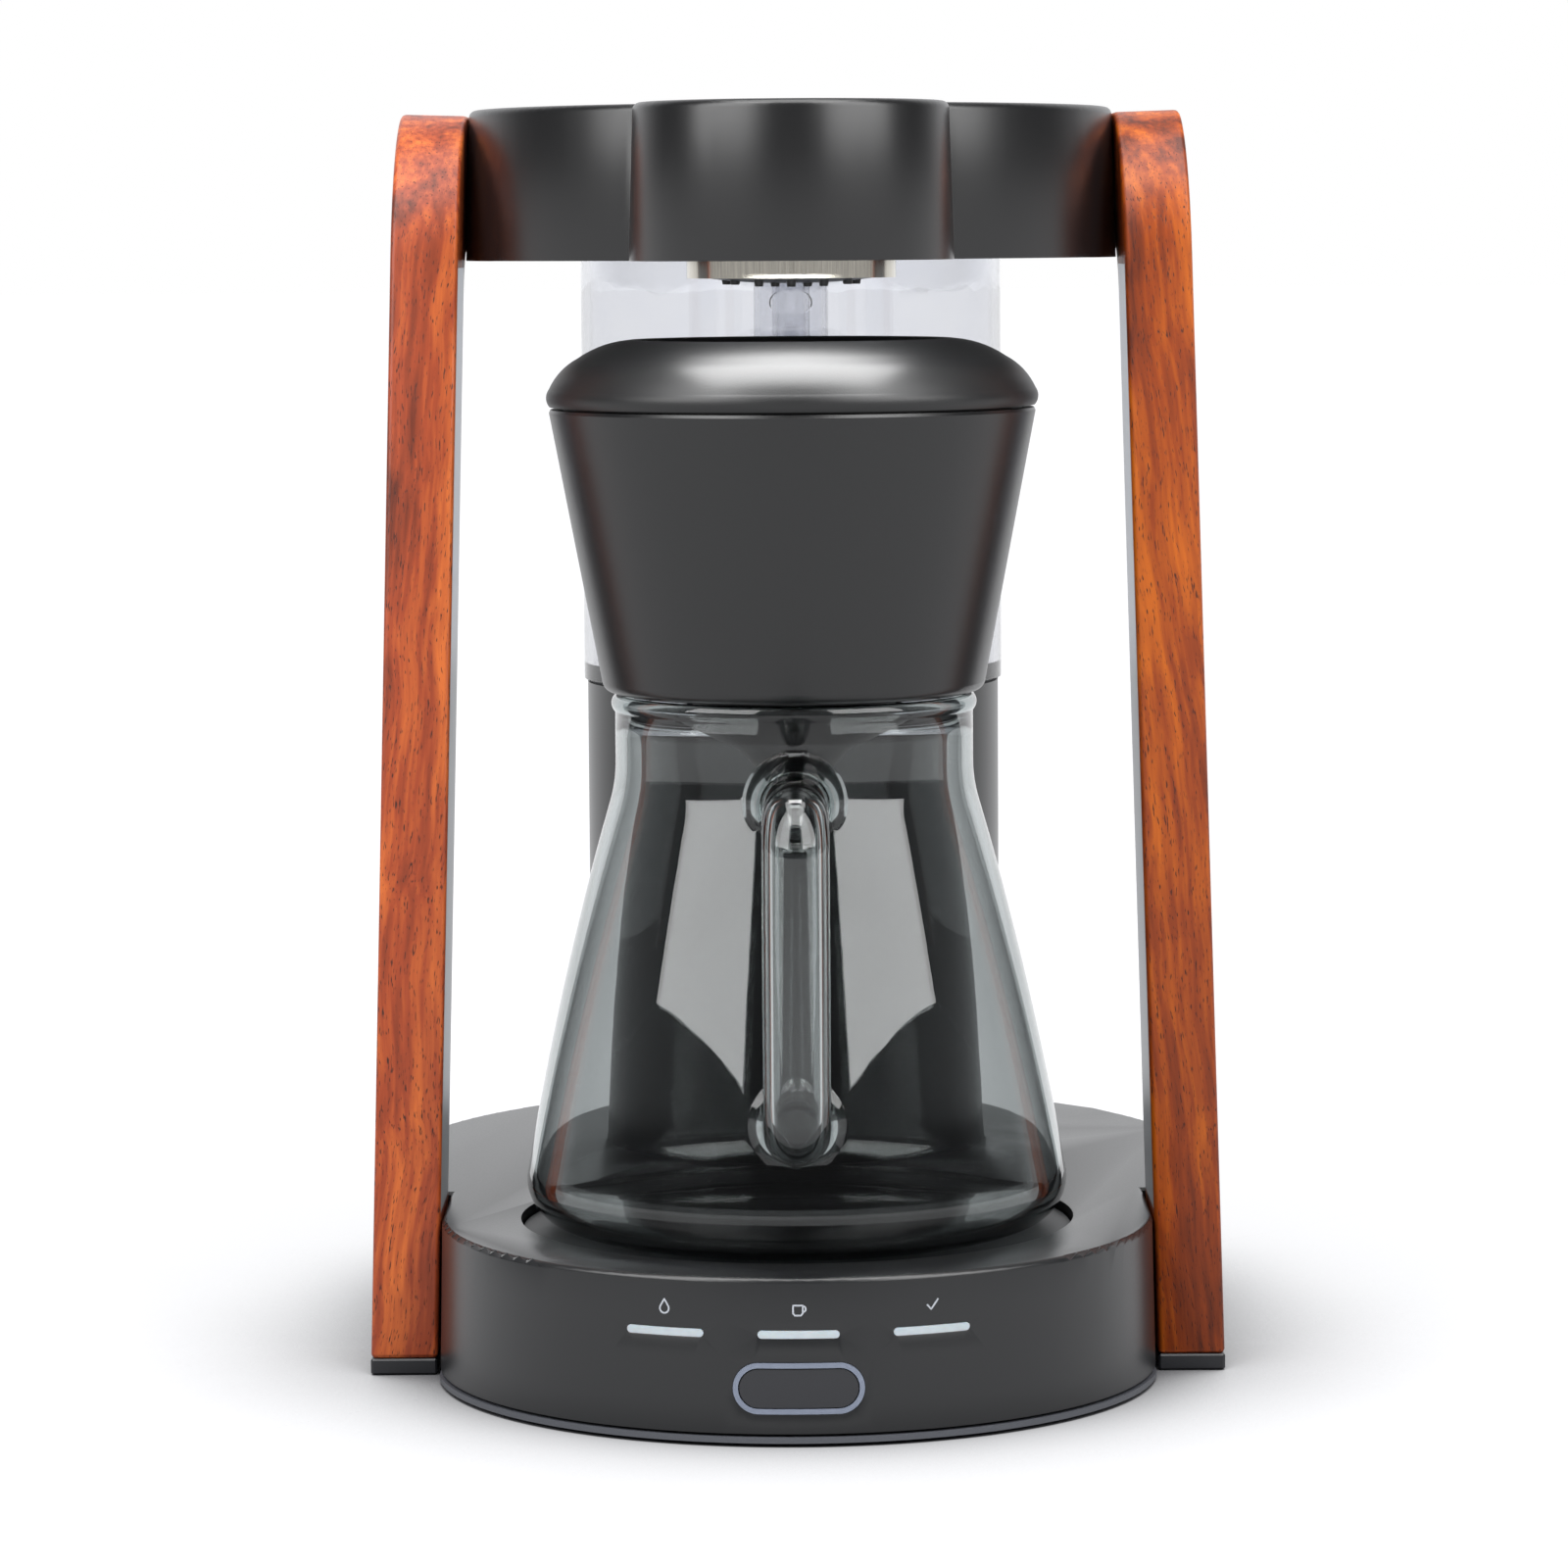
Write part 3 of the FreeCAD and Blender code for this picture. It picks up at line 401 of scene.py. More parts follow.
LINE = 0.42 * MM
h = MARK_TALL / 2
drop_line = [(0, h)] + ring_points(0, -0.33 * h, 0.67 * h, 35, -215, 14) + [(0, h)]
cup_line = [(-0.75 * h, 0.55 * h), (-0.75 * h, -0.55 * h), (-0.5 * h, -0.85 * h)]
cup_line += [(0.35 * h, -0.85 * h), (0.6 * h, -0.55 * h), (0.6 * h, 0.55 * h)]
cup_line += [(-0.75 * h, 0.55 * h)]
ear_line = ring_points(0.6 * h, 0.05 * h, 0.42 * h, 80, -80, 8)
tick_line = [(-0.8 * h, 0.0), (-0.2 * h, -0.7 * h), (0.9 * h, 0.75 * h)]
MARKS = {
    "mark_drop": (-1, [(drop_line, True)]),
    "mark_cup": (0, [(cup_line, True), (ear_line, False)]),
    "mark_tick": (1, [(tick_line, False)]),
}
for name, (place, lines) in MARKS.items():
    bpy.ops.object.select_all(action="DESELECT")
    strokes = [stroke(points, LINE, closed) for points, closed in lines]
    for line in strokes:
        line.select_set(True)
    bpy.context.view_layer.objects.active = strokes[0]
    if len(strokes) > 1:
        bpy.ops.object.join()
    mark = bpy.context.object
    mark.name = name
    for v in mark.data.vertices:
        z = MARK_Z + v.co.z
        wall = FRONT_R + WALL_GROWTH * (BASE_TOP - z) / (BASE_TOP - BASE_LIP)
        out = wall + 0.02 * MM + max(-0.03 * MM, min(0.03 * MM, -v.co.y))
        turn = place * BAR_ANGLE + v.co.x / FRONT_R
        v.co = (out * math.sin(turn), CARAFE_Y - out * math.cos(turn), z)
    settle(mark, ink, "frame", "light_lens")

# ---------------------------------------------------------- legs
# Each leg is one bent slab of oiled reddish hardwood, 18 mm thick: an upright, a
# round shoulder and an arm that the deck is bolted to. Its edges are sanded round.
LEG_FOOT_X = 114.2 * MM
LEG_T = 17.8 * MM
LEG_TILT = math.radians(1.73)
LEG_FRONT = -67.5 * MM
LEG_BACK = -29.2 * MM
LEG_TAPER = 6.5 / 299.0
LEG_TOP = 335.4 * MM
ARM_LOW = 299.0 * MM
ARM_END = 54.0 * MM
FOOT_H = 4.3 * MM
LEG_BELOW = -8.0 * MM


def draw_outline(points, x):
    """A flat face through (y, z) points on the plane at x, still in edit mode."""
    bpy.ops.object.select_all(action="DESELECT")
    bpy.ops.mesh.primitive_plane_add(size=1, location=(0, 0, 0))
    bpy.ops.object.mode_set(mode="EDIT")
    bpy.ops.mesh.select_all(action="SELECT")
    bpy.ops.mesh.merge(type="CENTER")
    bpy.ops.transform.translate(value=(x, points[0][0], points[0][1]))
    for a, b in zip(points, points[1:]):
        step = (0, b[0] - a[0], b[1] - a[1])
        bpy.ops.mesh.extrude_region_move(TRANSFORM_OT_translate={"value": step})
    bpy.ops.mesh.select_all(action="SELECT")
    bpy.ops.mesh.edge_face_add()
    return bpy.context.object


def pick_points(piece, wanted):
    """Selects the vertices that a test accepts, in edit mode."""
    bpy.ops.mesh.select_mode(type="VERT")
    bpy.ops.mesh.select_all(action="DESELECT")
    bpy.ops.object.mode_set(mode="OBJECT")
    for v in piece.data.vertices:
        v.select = wanted(v.co)
    bpy.ops.object.mode_set(mode="EDIT")


def near(y, z):
    """A test for one corner of a side view."""
    return lambda co: abs(co.y - y) < 0.1 * MM and abs(co.z - z) < 0.1 * MM


rear_high = LEG_BACK - LEG_TAPER * ARM_LOW
rear_low = LEG_BACK - LEG_TAPER * LEG_BELOW
side_view = [
    (LEG_FRONT, LEG_BELOW), (LEG_FRONT, LEG_TOP), (ARM_END, LEG_TOP),
    (ARM_END, ARM_LOW), (rear_high, ARM_LOW), (rear_low, LEG_BELOW),
]
slab = draw_outline(side_view, LEG_FOOT_X - LEG_T)
for corner, radius, rows in (
    (side_view[1], 38 * MM, 24), (side_view[2], 12 * MM, 10),
    (side_view[3], 12 * MM, 10), (side_view[4], 12 * MM, 12),
):
    pick_points(slab, near(*corner))
    bpy.ops.mesh.bevel(offset=radius, segments=rows, affect="VERTICES")
bpy.ops.mesh.select_all(action="SELECT")
bpy.ops.mesh.extrude_region_move(TRANSFORM_OT_translate={"value": (LEG_T, 0, 0)})
bpy.ops.mesh.select_all(action="SELECT")
bpy.ops.mesh.normals_make_consistent(inside=False)
bpy.ops.transform.rotate(
    value=LEG_TILT, orient_axis="Y", center_override=(LEG_FOOT_X, 0, 0),
)
bpy.ops.mesh.select_all(action="SELECT")
bpy.ops.mesh.bisect(
    plane_co=(0, 0, FOOT_H), plane_no=(0, 0, 1), clear_inner=True, use_fill=True,
)
bpy.ops.object.mode_set(mode="OBJECT")
bevel = slab.modifiers.new("sanded", "BEVEL")
bevel.width = 1.3 * MM
bevel.segments = 4
bevel.limit_method = "ANGLE"
bevel.angle_limit = math.radians(50)
bevel.harden_normals = True
bpy.ops.object.modifier_apply(modifier="sanded")
# A shallow pocket for the metal strip, cut in the inner face.
groove = bpy.data.objects.new("groove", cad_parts["leg_liner_right"].data.copy())
bpy.context.scene.collection.objects.link(groove)
work_on(groove)
bpy.ops.object.mode_set(mode="EDIT")
bpy.ops.mesh.select_all(action="SELECT")
bpy.ops.mesh.remove_doubles(threshold=0.004 * MM)
bpy.ops.mesh.normals_make_consistent(inside=False)
bpy.ops.transform.translate(value=(-0.06 * MM, 0, 0))
bpy.ops.object.mode_set(mode="OBJECT")
work_on(slab)
cut = slab.modifiers.new("pocket", "BOOLEAN")
cut.operation = "DIFFERENCE"
cut.solver = "EXACT"
cut.object = groove
bpy.ops.object.modifier_apply(modifier="pocket")
bpy.data.objects.remove(groove)
bpy.ops.object.shade_smooth_by_angle(angle=math.radians(30))

WOODS = {
    "left": ("#4c1b0a", "#843517", "#b35a24", 17.0, -4.0),
    "right": ("#4a1803", "#7d3104", "#a85207", 3.0, 7.0),
}
PORE_WIDE = 0.36 * MM
STREAK_WIDE = 1.6 * MM
FIGURE_WIDE = 9.0 * MM


def oiled_wood(side):
    """Oiled hardwood for one leg, its grain along the upright."""
    dark, middle, pale, offset, slant = WOODS[side]
    material, tree, shader, here = finish(
        f"oiled_reddish_hardwood_{side}", Coat_Weight=0.08, Coat_Roughness=0.3,
        Specular_IOR_Level=0.3,
    )
    # Open-pored tropical hardwood, planed, sanded and oiled: warm streaks along the
    # grain, short dark pores, and a soft gloss that the pores break up.
    turned = add(tree, "ShaderNodeMapping", {
        "Vector": here, "Rotation": (0, math.radians(slant), 0), "Location": (offset, 0, 0),
    })
    drift = add(tree, "ShaderNodeTexNoise", {"Vector": turned.outputs[0], "Scale": 14.0})
    bent = add(tree, "ShaderNodeVectorMath", {
        0: drift.outputs["Color"], 1: (0.012, 0.012, 0.0), 2: turned.outputs[0],
    }, operation="MULTIPLY_ADD")
    long = add(tree, "ShaderNodeMapping", {"Vector": bent.outputs[0], "Scale": (1, 1, 0.06)})
    dashes = add(tree, "ShaderNodeMapping", {"Vector": bent.outputs[0], "Scale": (1, 1, 0.13)})
    figure = add(tree, "ShaderNodeTexNoise", {
        "Vector": long.outputs[0], "Scale": 1 / FIGURE_WIDE, "Detail": 5.0,
    })
    streaks = add(tree, "ShaderNodeTexNoise", {
        "Vector": long.outputs[0], "Scale": 1 / STREAK_WIDE, "Detail": 3.0,
    })
    pores = add(tree, "ShaderNodeTexNoise", {
        "Vector": dashes.outputs[0], "Scale": 1 / PORE_WIDE, "Detail": 1.0,
    })
    blend = add(tree, "ShaderNodeMath", {
        0: streaks.outputs[0], 1: 0.45, 2: figure.outputs[0],
    }, operation="MULTIPLY_ADD")
    colour = add(tree, "ShaderNodeValToRGB", {0: blend.outputs[0]})
    ramp = colour.color_ramp.elements
    ramp[0].position = 0.52
    ramp[0].color = linear(dark)
    ramp[1].position = 0.93
    ramp[1].color = linear(pale)
    ramp.new(0.72).color = linear(middle)
    open_pore = add(tree, "ShaderNodeMapRange", {
        "Value": pores.outputs[0], "From Min": 0.62, "From Max": 0.72,
    })
    dirt = add(tree, "ShaderNodeMix", {
        0: open_pore.outputs[0], 6: colour.outputs[0], 7: linear("#32140c"),
    }, data_type="RGBA")
    gloss = add(tree, "ShaderNodeMapRange", {
        "Value": open_pore.outputs[0], "To Min": 0.42, "To Max": 0.66,
    })
    depth = add(tree, "ShaderNodeBump", {
        "Height": open_pore.outputs[0], "Strength": 0.35, "Distance": 0.12 * MM,
    })
    depth.invert = True
    tree.links.new(dirt.outputs[2], shader.inputs["Base Color"])
    tree.links.new(gloss.outputs[0], shader.inputs["Roughness"])
    tree.links.new(depth.outputs[0], shader.inputs["Normal"])
    return material


slab.name = "leg_slab_right"
twin = slab.copy()
twin.data = slab.data.copy()
twin.name = "leg_slab_left"
bpy.context.scene.collection.objects.link(twin)
work_on(twin)
twin.data.transform(Matrix.Scale(-1, 4, (1, 0, 0)))
bpy.ops.object.mode_set(mode="EDIT")
bpy.ops.mesh.select_all(action="SELECT")
bpy.ops.mesh.flip_normals()
bpy.ops.object.mode_set(mode="OBJECT")
settle(slab, oiled_wood("right"), "frame", "oiled_wood", "leg_right")
settle(twin, oiled_wood("left"), "frame", "oiled_wood", "leg_left")

strip_metal, tree, shader, here = finish("satin_anodised_aluminium", Metallic=1.0, Roughness=0.35)
# Aluminium strip, brushed along its length and clear anodised: pale grey, satin.
long = add(tree, "ShaderNodeMapping", {"Vector": here, "Scale": (1, 1, 0.01)})
brush = add(tree, "ShaderNodeTexNoise", {"Vector": long.outputs[0], "Scale": 1 / (0.15 * MM)})
coloured(tree, shader, brush, "#b2b5ba", "#cdd0d4")
for side in ("left", "right"):
    wear(f"leg_liner_{side}", strip_metal)

foot_plastic, tree, shader, here = finish("dark_grey_nylon_foot", Roughness=0.38)
# Glass-filled nylon cap, moulded with a small chamfer that catches the light.
grain = add(tree, "ShaderNodeTexNoise", {"Vector": here, "Scale": 1 / (0.5 * MM), "Detail": 2.0})
coloured(tree, shader, grain, "#141518", "#1c1d21")
for side in ("left", "right"):
    wear(f"leg_foot_{side}", foot_plastic)

# ---------------------------------------------------------- deck
# The deck is a second casting, coated in a blacker satin powder. A moulded cover
# closes it from below and the filling neck of the tank comes up through it.
deck_coat, tree, shader, here = finish(
    "black_satin_powder_coat_on_cast_aluminium", Roughness=0.3, IOR=1.52,
)
# A smoother, blacker powder than the base: tall soft streaks of light on its curves.
peel = add(tree, "ShaderNodeTexNoise", {"Vector": here, "Scale": PEEL, "Detail": 2.0})
grit = add(tree, "ShaderNodeTexNoise", {"Vector": here, "Scale": GRIT})
coloured(tree, shader, grit, "#070708", "#0c0c0d")
uneven = add(tree, "ShaderNodeMapRange", {
    "Value": peel.outputs[0], "To Min": 0.27, "To Max": 0.34,
})
waves = add(tree, "ShaderNodeBump", {
    "Height": peel.outputs[0], "Strength": 0.08, "Distance": 0.05 * MM,
})
tree.links.new(uneven.outputs[0], shader.inputs["Roughness"])
tree.links.new(waves.outputs[0], shader.inputs["Normal"])
SEAT_IN, SEAT_HALF = 78 * MM, 80 * MM
CREASE_AT = (38.3 * MM, -106.3 * MM)


def arm_seat(co):
    """Round the seats of the legs' arms, their bolt holes and the lobe's creases."""
    on_arm = abs(co.x) > SEAT_IN and abs(co.y) < SEAT_HALF
    return on_arm or math.dist((abs(co.x), co.y), CREASE_AT) < 1.5 * MM


deck_casting = eased("deck_shell", "deck_casting", 0.3 * MM, arm_seat)
settle(deck_casting, deck_coat, "frame", "cast_charcoal", "deck_shell")

cover_plastic, tree, shader, here = finish("black_polypropylene_moulding", Roughness=0.5)
# Polypropylene with a fine even texture: matt black beside the satin castings.
grain = add(tree, "ShaderNodeTexNoise", {"Vector": here, "Scale": 1 / (0.4 * MM)})
coloured(tree, shader, grain, "#131314", "#1d1d1f")
dents = add(tree, "ShaderNodeBump", {
    "Height": grain.outputs[0], "Strength": 0.2, "Distance": 0.03 * MM,
})
tree.links.new(dents.outputs[0], shader.inputs["Normal"])
for node in ("deck_cover", "fill_neck", "tank_lid", "filter_cone", "tact_switch", "check_valve"):
    wear(node, cover_plastic)

# ---------------------------------------------------------- shower head
# A brushed stainless ring holds a pale domed plate, with small black silicone
# nozzles pushed through its holes.
brushed, tree, shader, here = finish("brushed_stainless_steel", Metallic=1.0, Roughness=0.16)
# Stainless tube, brushed upwards with a fine belt: short streaks along its axis.
around = add(tree, "ShaderNodeMapping", {"Vector": here, "Scale": (1, 1, 0.03)})
brush = add(tree, "ShaderNodeTexNoise", {
    "Vector": around.outputs[0], "Scale": 1 / (0.4 * MM), "Detail": 2.0,
})
coloured(tree, shader, brush, "#a5a197", "#e0dbcf")
rough = add(tree, "ShaderNodeMapRange", {
    "Value": brush.outputs[0], "To Min": 0.10, "To Max": 0.22,
})
tree.links.new(rough.outputs[0], shader.inputs["Roughness"])
wear("shower_ring", brushed)

plate_steel, tree, shader, here = finish(
    "bead_blasted_stainless_steel", Metallic=1.0, Roughness=0.45,
)
# Stainless sheet, pressed to a dome and bead blasted: pale and almost matt.
beads = add(tree, "ShaderNodeTexNoise", {"Vector": here, "Scale": 1 / (0.3 * MM)})
coloured(tree, shader, beads, "#b7bac4", "#d3d6de")
wear("shower_plate", plate_steel)

NOZZLE_R = 1.35 * MM
NOZZLE_OUT = 1.1 * MM
PLATE_LOW = 290.0 * MM
nozzles = []
for count, ring_r, rise in ((6, 8.5 * MM, 0.15 * MM), (12, 17.0 * MM, 0.7 * MM)):
    for i in range(count):
        turn = 2 * math.pi * i / count
        nozzles.append((ring_r * math.cos(turn), CARAFE_Y + ring_r * math.sin(turn), rise))
nozzles.append((0.0, CARAFE_Y, 0.0))
bpy.ops.object.select_all(action="DESELECT")
bpy.ops.mesh.primitive_cylinder_add(
    vertices=16, radius=NOZZLE_R, depth=1.6 * MM, end_fill_type="NGON",
    location=(0, 0, PLATE_LOW - NOZZLE_OUT + 0.8 * MM),
)
nozzle = bpy.context.object
bpy.ops.object.transform_apply(location=True, rotation=True, scale=True)
bpy.ops.object.mode_set(mode="EDIT")
low_end = PLATE_LOW - NOZZLE_OUT
pick_points(nozzle, lambda co: co.z < low_end + 0.1 * MM)
bpy.ops.transform.resize(value=(0.8, 0.8, 1), center_override=(0, 0, low_end))
bpy.ops.mesh.select_mode(type="FACE")
bpy.ops.mesh.inset(thickness=0.5 * MM, depth=0)
bpy.ops.mesh.extrude_region_move(TRANSFORM_OT_translate={"value": (0, 0, 0.9 * MM)})
bpy.ops.mesh.select_mode(type="VERT")
bpy.ops.object.mode_set(mode="OBJECT")
group = []
for x, y, rise in nozzles:
    one = nozzle.copy()
    one.data = nozzle.data.copy()
    one.data.transform(Matrix.Translation((x, y, rise)))
    bpy.context.scene.collection.objects.link(one)
    group.append(one)
bpy.data.objects.remove(nozzle)
bpy.ops.object.select_all(action="DESELECT")
for one in group:
    one.select_set(True)
bpy.context.view_layer.objects.active = group[0]
bpy.ops.object.join()
shower_nozzles = bpy.context.object
shower_nozzles.name = "shower_nozzles"
bpy.ops.object.shade_smooth_by_angle(angle=math.radians(40))
settle(shower_nozzles, silicone, "frame", "silicone")

# ---------------------------------------------------------- water tank and riser
# A clear cup stands on the column and is held up into the deck by a lip seal. The
# hot water rises through a clear tube in a clear sleeve with a slot near its top.
clear, tree, shader, here = finish(
    "clear_copolyester", Roughness=0.0, IOR=1.54, Transmission_Weight=1.0,
)
# Injection-moulded copolyester: clear with a faint cool cast and soft sink marks.
sink = add(tree, "ShaderNodeTexNoise", {"Vector": here, "Scale": 1 / (18 * MM)})
coloured(tree, shader, sink, "#f6f7fb", "#ffffff")
soft = add(tree, "ShaderNodeBump", {
    "Height": sink.outputs[0], "Strength": 0.05, "Distance": 0.3 * MM,
})
tree.links.new(soft.outputs[0], shader.inputs["Normal"])
tint = add(tree, "ShaderNodeVolumeAbsorption", {"Color": linear("#8f929c"), "Density": 70.0})
out = next(n for n in tree.nodes if n.type == "OUTPUT_MATERIAL")
tree.links.new(tint.outputs[0], out.inputs["Volume"])
for node in ("tank_shell", "riser_tube", "riser_sleeve"):
    wear(node, clear)

column_plastic, tree, shader, here = finish("satin_grey_abs_column", Roughness=0.3)
# ABS tube under the tank, moulded smooth and satin, which hides the heater.
grain = add(tree, "ShaderNodeTexNoise", {"Vector": here, "Scale": 1 / (0.5 * MM)})
coloured(tree, shader, grain, "#0b0b0d", "#101113")
wear("column_housing", column_plastic)

# ---------------------------------------------------------- works inside
# Boards, heater, valve and hoses fill the base and the column, out of sight. Each
# kind keeps its plain finish: solder mask, cast aluminium, nickel, silicone, nylon.
HIDDEN = {
    "green_solder_mask": (("control_board", "power_board"), "#12351f", "#1c4a2c", 0.35, 0.0),
    "die_cast_heater_aluminium": (
        ("heater_tube", "heater_bracket"), "#8f9194", "#b4b6b8", 0.45, 1.0),
    "nickel_thermostat_cap": (("thermostat",), "#a09c92", "#bfbbb0", 0.3, 1.0),
    "translucent_silicone_hose": (
        ("inlet_hose", "riser_hose", "water_channel"), "#b9bcbd", "#d0d3d4", 0.4, 0.0),
    "white_nylon_manifold": (("shower_manifold",), "#c6c5c0", "#d6d5d0", 0.45, 0.0),
}
for name, (nodes, low, high, gloss, metal) in HIDDEN.items():
    inner, tree, shader, here = finish(name, Roughness=gloss, Metallic=metal)
    cloud = add(tree, "ShaderNodeTexNoise", {"Vector": here, "Scale": 1 / (2 * MM), "Detail": 3.0})
    coloured(tree, shader, cloud, low, high)
    for node in nodes:
        wear(node, inner)

# ---------------------------------------------------------- filter holder
# The holder is a tapered cup with a loose domed collar on top, both moulded with a
# fine leather-like matt texture. The collar, handled more, is the duller of the two.


def textured(name, low, high):
    """Charcoal nylon from an etched tool, as glossy as the two roughness values say."""
    material, tree, shader, here = finish(name, Roughness=low)
    # Etched grain about 0.5 mm across: a soft sheen that breaks into fine speckle.
    etch = add(tree, "ShaderNodeTexNoise", {
        "Vector": here, "Scale": 1 / (0.5 * MM), "Detail": 3.0,
    })
    coloured(tree, shader, etch, "#070708", "#0d0e0f")
    rough = add(tree, "ShaderNodeMapRange", {
        "Value": etch.outputs[0], "To Min": low, "To Max": high,
    })
    dents = add(tree, "ShaderNodeBump", {
        "Height": etch.outputs[0], "Strength": 0.35, "Distance": 0.06 * MM,
    })
    tree.links.new(rough.outputs[0], shader.inputs["Roughness"])
    tree.links.new(dents.outputs[0], shader.inputs["Normal"])
    return material


wear("dripper_body", textured("fine_textured_charcoal_nylon", 0.28, 0.36))
wear("dripper_collar", textured("matt_textured_charcoal_nylon", 0.40, 0.48))

# ---------------------------------------------------------- carafe
# Smoked borosilicate, blown in a mould. The hollow handle is a bent glass tube whose
# flared ends are fused to the wall with a flame, so it is one piece of glass.
GLASS_STEPS = 160


def arc(a, b, c, count):
    """Points on the circle through a, b and c, from a to c without a itself."""
    ax, az, bx, bz, cx, cz = *a, *b, *c
    d = 2 * (ax * (bz - cz) + bx * (cz - az) + cx * (az - bz))
    sa, sb, sc = ax * ax + az * az, bx * bx + bz * bz, cx * cx + cz * cz
    ox = (sa * (bz - cz) + sb * (cz - az) + sc * (az - bz)) / d
    oz = (sa * (cx - bx) + sb * (ax - cx) + sc * (bx - ax)) / d
    r = math.hypot(ax - ox, az - oz)
    first = math.atan2(az - oz, ax - ox)
    mid = (math.atan2(bz - oz, bx - ox) - first) % (2 * math.pi)
    last = (math.atan2(cz - oz, cx - ox) - first) % (2 * math.pi)
    if mid > last:
        last -= 2 * math.pi
    turns = [first + last * i / count for i in range(1, count + 1)]
    return [(ox + r * math.cos(t), oz + r * math.sin(t)) for t in turns]


def turned(name, line, steps=GLASS_STEPS):
    """A solid turned on the lathe from a closed (r, z) line in millimetres."""
    bpy.ops.object.select_all(action="DESELECT")
    bpy.ops.mesh.primitive_plane_add(size=1, location=(0, 0, 0))
    piece = bpy.context.object
    piece.name = name
    bpy.ops.object.mode_set(mode="EDIT")
    bpy.ops.mesh.select_all(action="SELECT")
    bpy.ops.mesh.merge(type="CENTER")
    bpy.ops.transform.translate(value=(line[0][0] * MM, CARAFE_Y, line[0][1] * MM))
    for a, b in zip(line, line[1:]):
        step = ((b[0] - a[0]) * MM, 0, (b[1] - a[1]) * MM)
        bpy.ops.mesh.extrude_region_move(TRANSFORM_OT_translate={"value": step})
    bpy.ops.mesh.select_all(action="SELECT")
    bpy.ops.mesh.spin(
        steps=steps, angle=2 * math.pi, center=(0, CARAFE_Y, 0), axis=(0, 0, 1),
    )
    bpy.ops.mesh.select_all(action="SELECT")
    bpy.ops.mesh.remove_doubles(threshold=0.002 * MM)
    bpy.ops.mesh.select_all(action="SELECT")
    bpy.ops.mesh.normals_make_consistent(inside=False)
    bpy.ops.object.mode_set(mode="OBJECT")
    return piece


FOOT = 40.2
outer = [(0, FOOT + 1.6)]
outer += arc((0, FOOT + 1.6), (28, FOOT + 1.17), (54, FOOT), 12)
outer += arc((54, FOOT), (60.2, FOOT + 0.55), (65.7, FOOT + 2.5), 8)
outer += arc((65.7, FOOT + 2.5), (70.2, FOOT + 7.0), (71.2, FOOT + 16.8), 12)
outer += arc((71.2, FOOT + 16.8), (61.8, 103.9), (48.9, 153.5), 30)
outer += arc((48.9, 153.5), (47.7, 158.8), (47.3, 164.2), 6)
outer += [(47.3, 171.0), (47.3, 177.6)]
outer += arc((47.3, 177.6), (48.2, 180.4), (47.0, 182.3), 8)
inner = arc((47.0, 182.3), (45.4, 181.6), (44.9, 179.6), 6)
inner += [(44.9, 171.0), (44.9, 164.2)]
inner += arc((44.9, 164.2), (45.3, 158.2), (46.5, 152.9), 6)
inner += arc((46.5, 152.9), (59.4, 103.4), (68.8, FOOT + 16.8), 30)
inner += arc((68.8, FOOT + 16.8), (67.7, FOOT + 8.4), (64.0, FOOT + 4.8), 10)
inner += arc((64.0, FOOT + 4.8), (58.8, FOOT + 3.2), (52, FOOT + 2.7), 8)
inner += arc((52, FOOT + 2.7), (28, FOOT + 3.6), (0, FOOT + 4.0), 12)
carafe = turned("carafe_vessel", outer + inner)

middle = [(max(r - 1.2, 0), h) for r, h in outer if h < 178]
core = turned("core", middle + [(0, middle[-1][1]), middle[0]], 96)


def bent_tube(name, rings, sides):
    """A closed tube along the handle: (radius, length or bend) steps from one end."""
    (first_r, at), *steps = rings
    bpy.ops.object.select_all(action="DESELECT")
    bpy.ops.mesh.primitive_circle_add(
        vertices=sides, radius=first_r * MM, fill_type="NGON",
        location=Vector(at) * MM, rotation=(math.pi / 2, 0, 0),
    )
    piece = bpy.context.object
    piece.name = name
    bpy.ops.object.transform_apply(location=True, rotation=True, scale=True)
    bpy.ops.object.mode_set(mode="EDIT")
    bpy.ops.mesh.select_all(action="SELECT")
    place, r = Vector(at), first_r
    for kind, value, move in steps:
        if kind == "run":
            step = Vector(move)
            bpy.ops.mesh.extrude_region_move(TRANSFORM_OT_translate={"value": step * MM})
            place = place + step
            if value != r:
                bpy.ops.transform.resize(
                    value=(value / r,) * 3, center_override=place * MM,
                )
                r = value
        else:
            bpy.ops.mesh.spin(
                steps=16, angle=value, center=Vector(move) * MM, axis=(-1, 0, 0),
            )
            place = Matrix.Rotation(value, 3, "X") @ (place - Vector(move)) + Vector(move)
    bpy.ops.mesh.select_all(action="SELECT")
    bpy.ops.mesh.remove_doubles(threshold=0.002 * MM)
    bpy.ops.mesh.select_all(action="SELECT")
    bpy.ops.mesh.normals_make_consistent(inside=False)
    bpy.ops.object.mode_set(mode="OBJECT")
    return piece


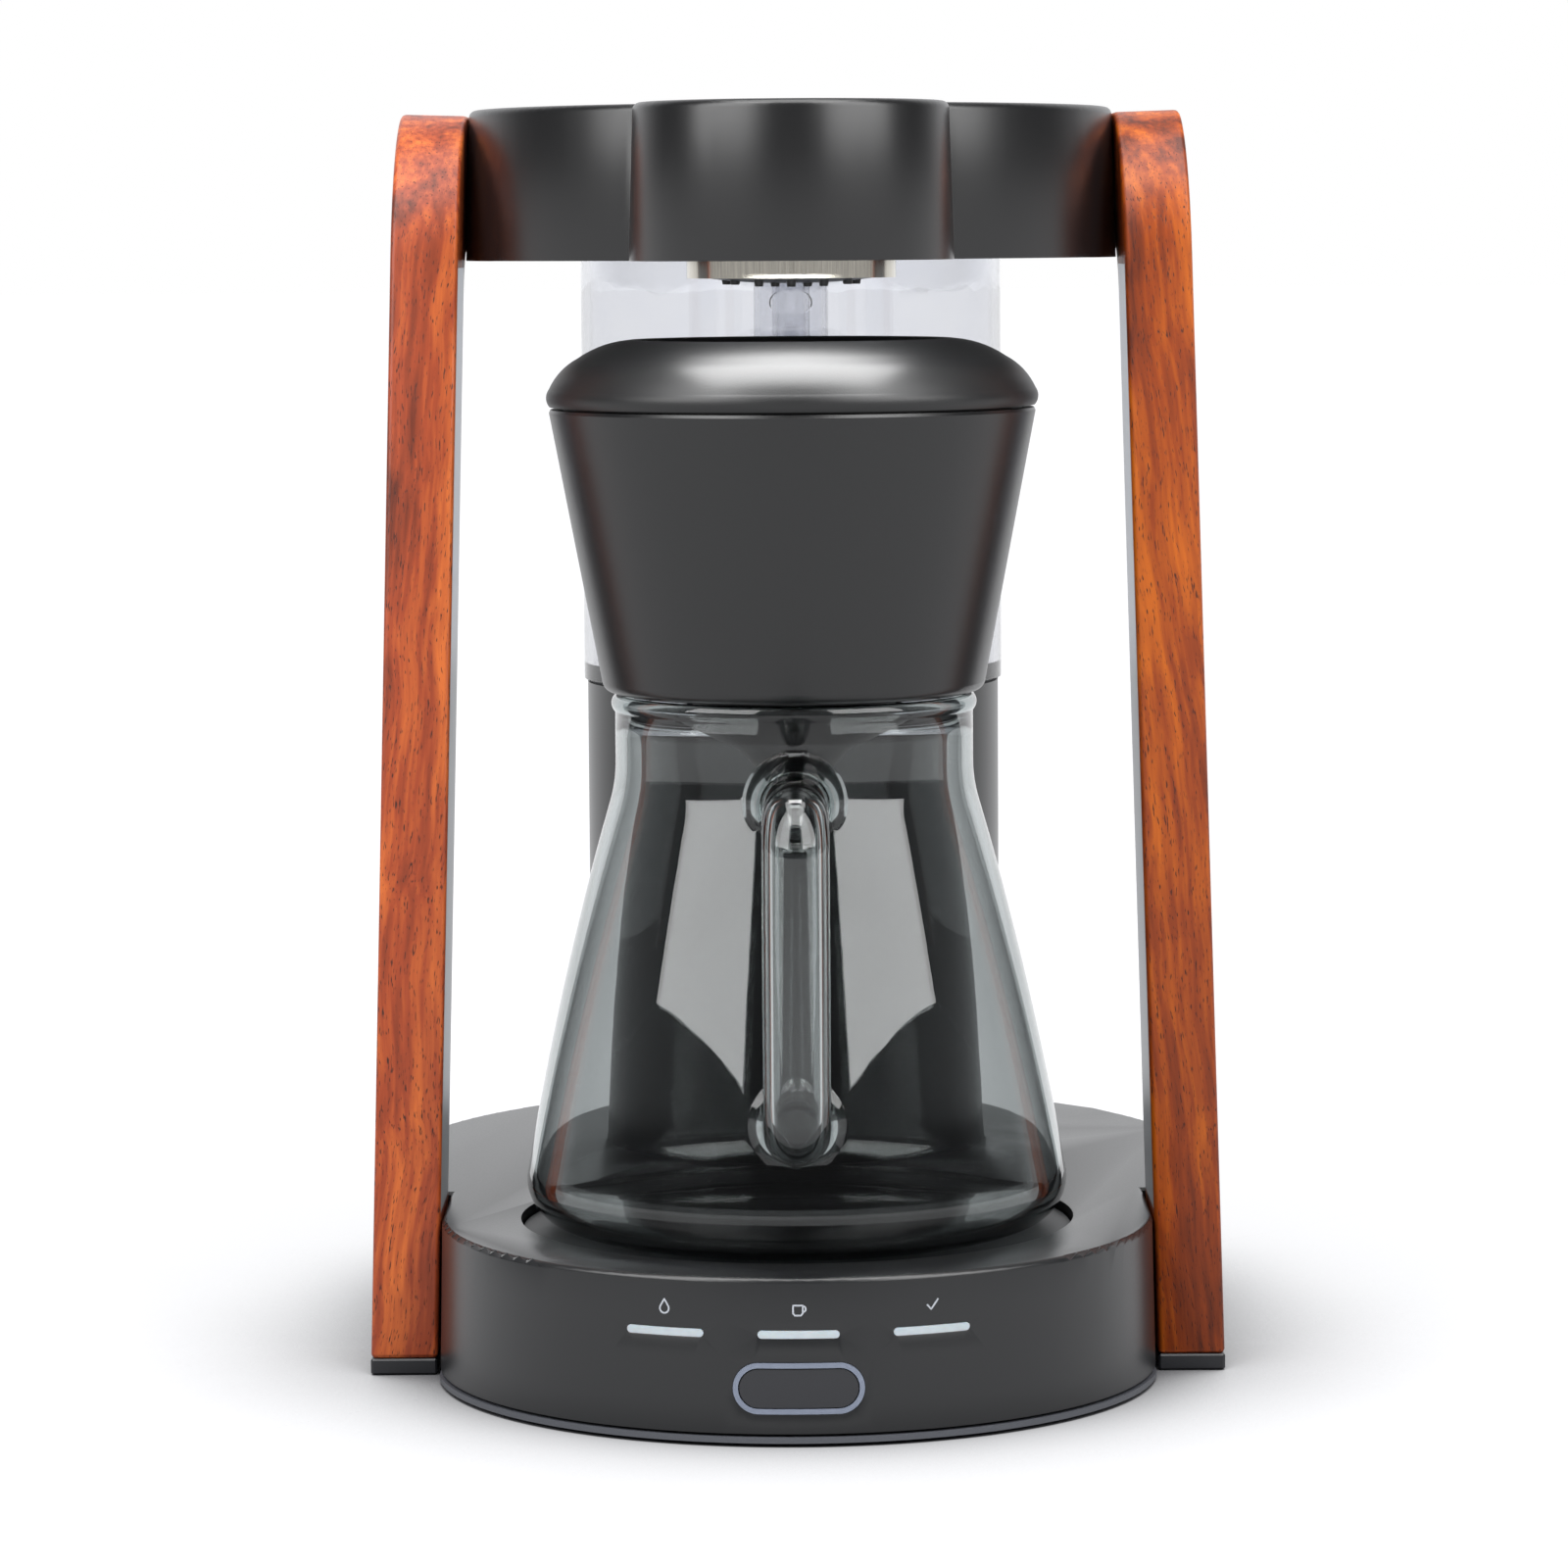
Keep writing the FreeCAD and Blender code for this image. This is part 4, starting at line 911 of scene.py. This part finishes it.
HIGH, LOW, BEND_Y = 157.2, 77.0, -145.5
TURN = 9.5
handle = bent_tube("handle_tube", [
    (13.6, (0, -104, HIGH)),
    ("run", 13.6, (0, -9.2, 0)), ("run", 12.2, (0, -1.3, 0)), ("run", 10.6, (0, -1.8, 0)),
    ("run", 9.4, (0, -2.4, 0)), ("run", 8.7, (0, -3.0, 0)), ("run", 8.5, (0, -3.3, 0)),
    ("run", 8.5, (0, BEND_Y + 125.0, 0)),
    ("bend", math.pi / 2, (0, BEND_Y, HIGH - TURN)),
    ("run", 8.5, (0, 0, LOW + 2 * TURN - HIGH)),
    ("bend", math.pi / 2, (0, BEND_Y, LOW + TURN)),
    ("run", 8.5, (0, 6.5, 0)),
    ("run", 8.8, (0, 1.2, 0)), ("run", 9.6, (0, 1.3, 0)), ("run", 10.8, (0, 1.2, 0)),
    ("run", 12.6, (0, 1.3, 0)), ("run", 12.6, (0, 12, 0)),
], 56)
bore = bent_tube("handle_bore", [
    (5.9, (0, -116.0, HIGH)),
    ("run", 5.9, (0, BEND_Y + 116.0, 0)),
    ("bend", math.pi / 2, (0, BEND_Y, HIGH - TURN)),
    ("run", 5.9, (0, 0, LOW + 2 * TURN - HIGH)),
    ("bend", math.pi / 2, (0, BEND_Y, LOW + TURN)),
    ("run", 5.9, (0, 9.9, 0)),
], 40)


def cut_or_join(piece, tool, operation):
    """Boolean of two solids. The tool is used up."""
    work_on(piece)
    step = piece.modifiers.new("step", "BOOLEAN")
    step.operation = operation
    step.solver = "EXACT"
    step.object = tool
    bpy.ops.object.modifier_apply(modifier="step")
    bpy.data.objects.remove(tool)


cut_or_join(handle, core, "DIFFERENCE")
cut_or_join(handle, bore, "DIFFERENCE")
cut_or_join(carafe, handle, "UNION")
work_on(carafe)
bpy.ops.object.mode_set(mode="EDIT")
bpy.ops.mesh.select_all(action="SELECT")
bpy.ops.mesh.remove_doubles(threshold=0.002 * MM)
bpy.ops.object.mode_set(mode="OBJECT")
bpy.ops.object.shade_smooth_by_angle(angle=math.radians(50))

smoked, tree, shader, here = finish(
    "smoked_borosilicate_glass", Roughness=0.0, IOR=1.474, Transmission_Weight=1.0,
)
# Blown borosilicate, tinted right through with a cool grey: darker where the eye
# looks along the wall, with slow waves from the mould.
flow = add(tree, "ShaderNodeTexNoise", {"Vector": here, "Scale": 1 / (30 * MM)})
wavy = add(tree, "ShaderNodeBump", {
    "Height": flow.outputs[0], "Strength": 0.04, "Distance": 1.0 * MM,
})
tree.links.new(wavy.outputs[0], shader.inputs["Normal"])
tint = add(tree, "ShaderNodeVolumeAbsorption", {"Color": linear("#97a9a9"), "Density": 150.0})
out = next(n for n in tree.nodes if n.type == "OUTPUT_MATERIAL")
tree.links.new(tint.outputs[0], out.inputs["Volume"])
settle(carafe, smoked, "carafe", "smoked_glass", "carafe_glass", "carafe_handle")
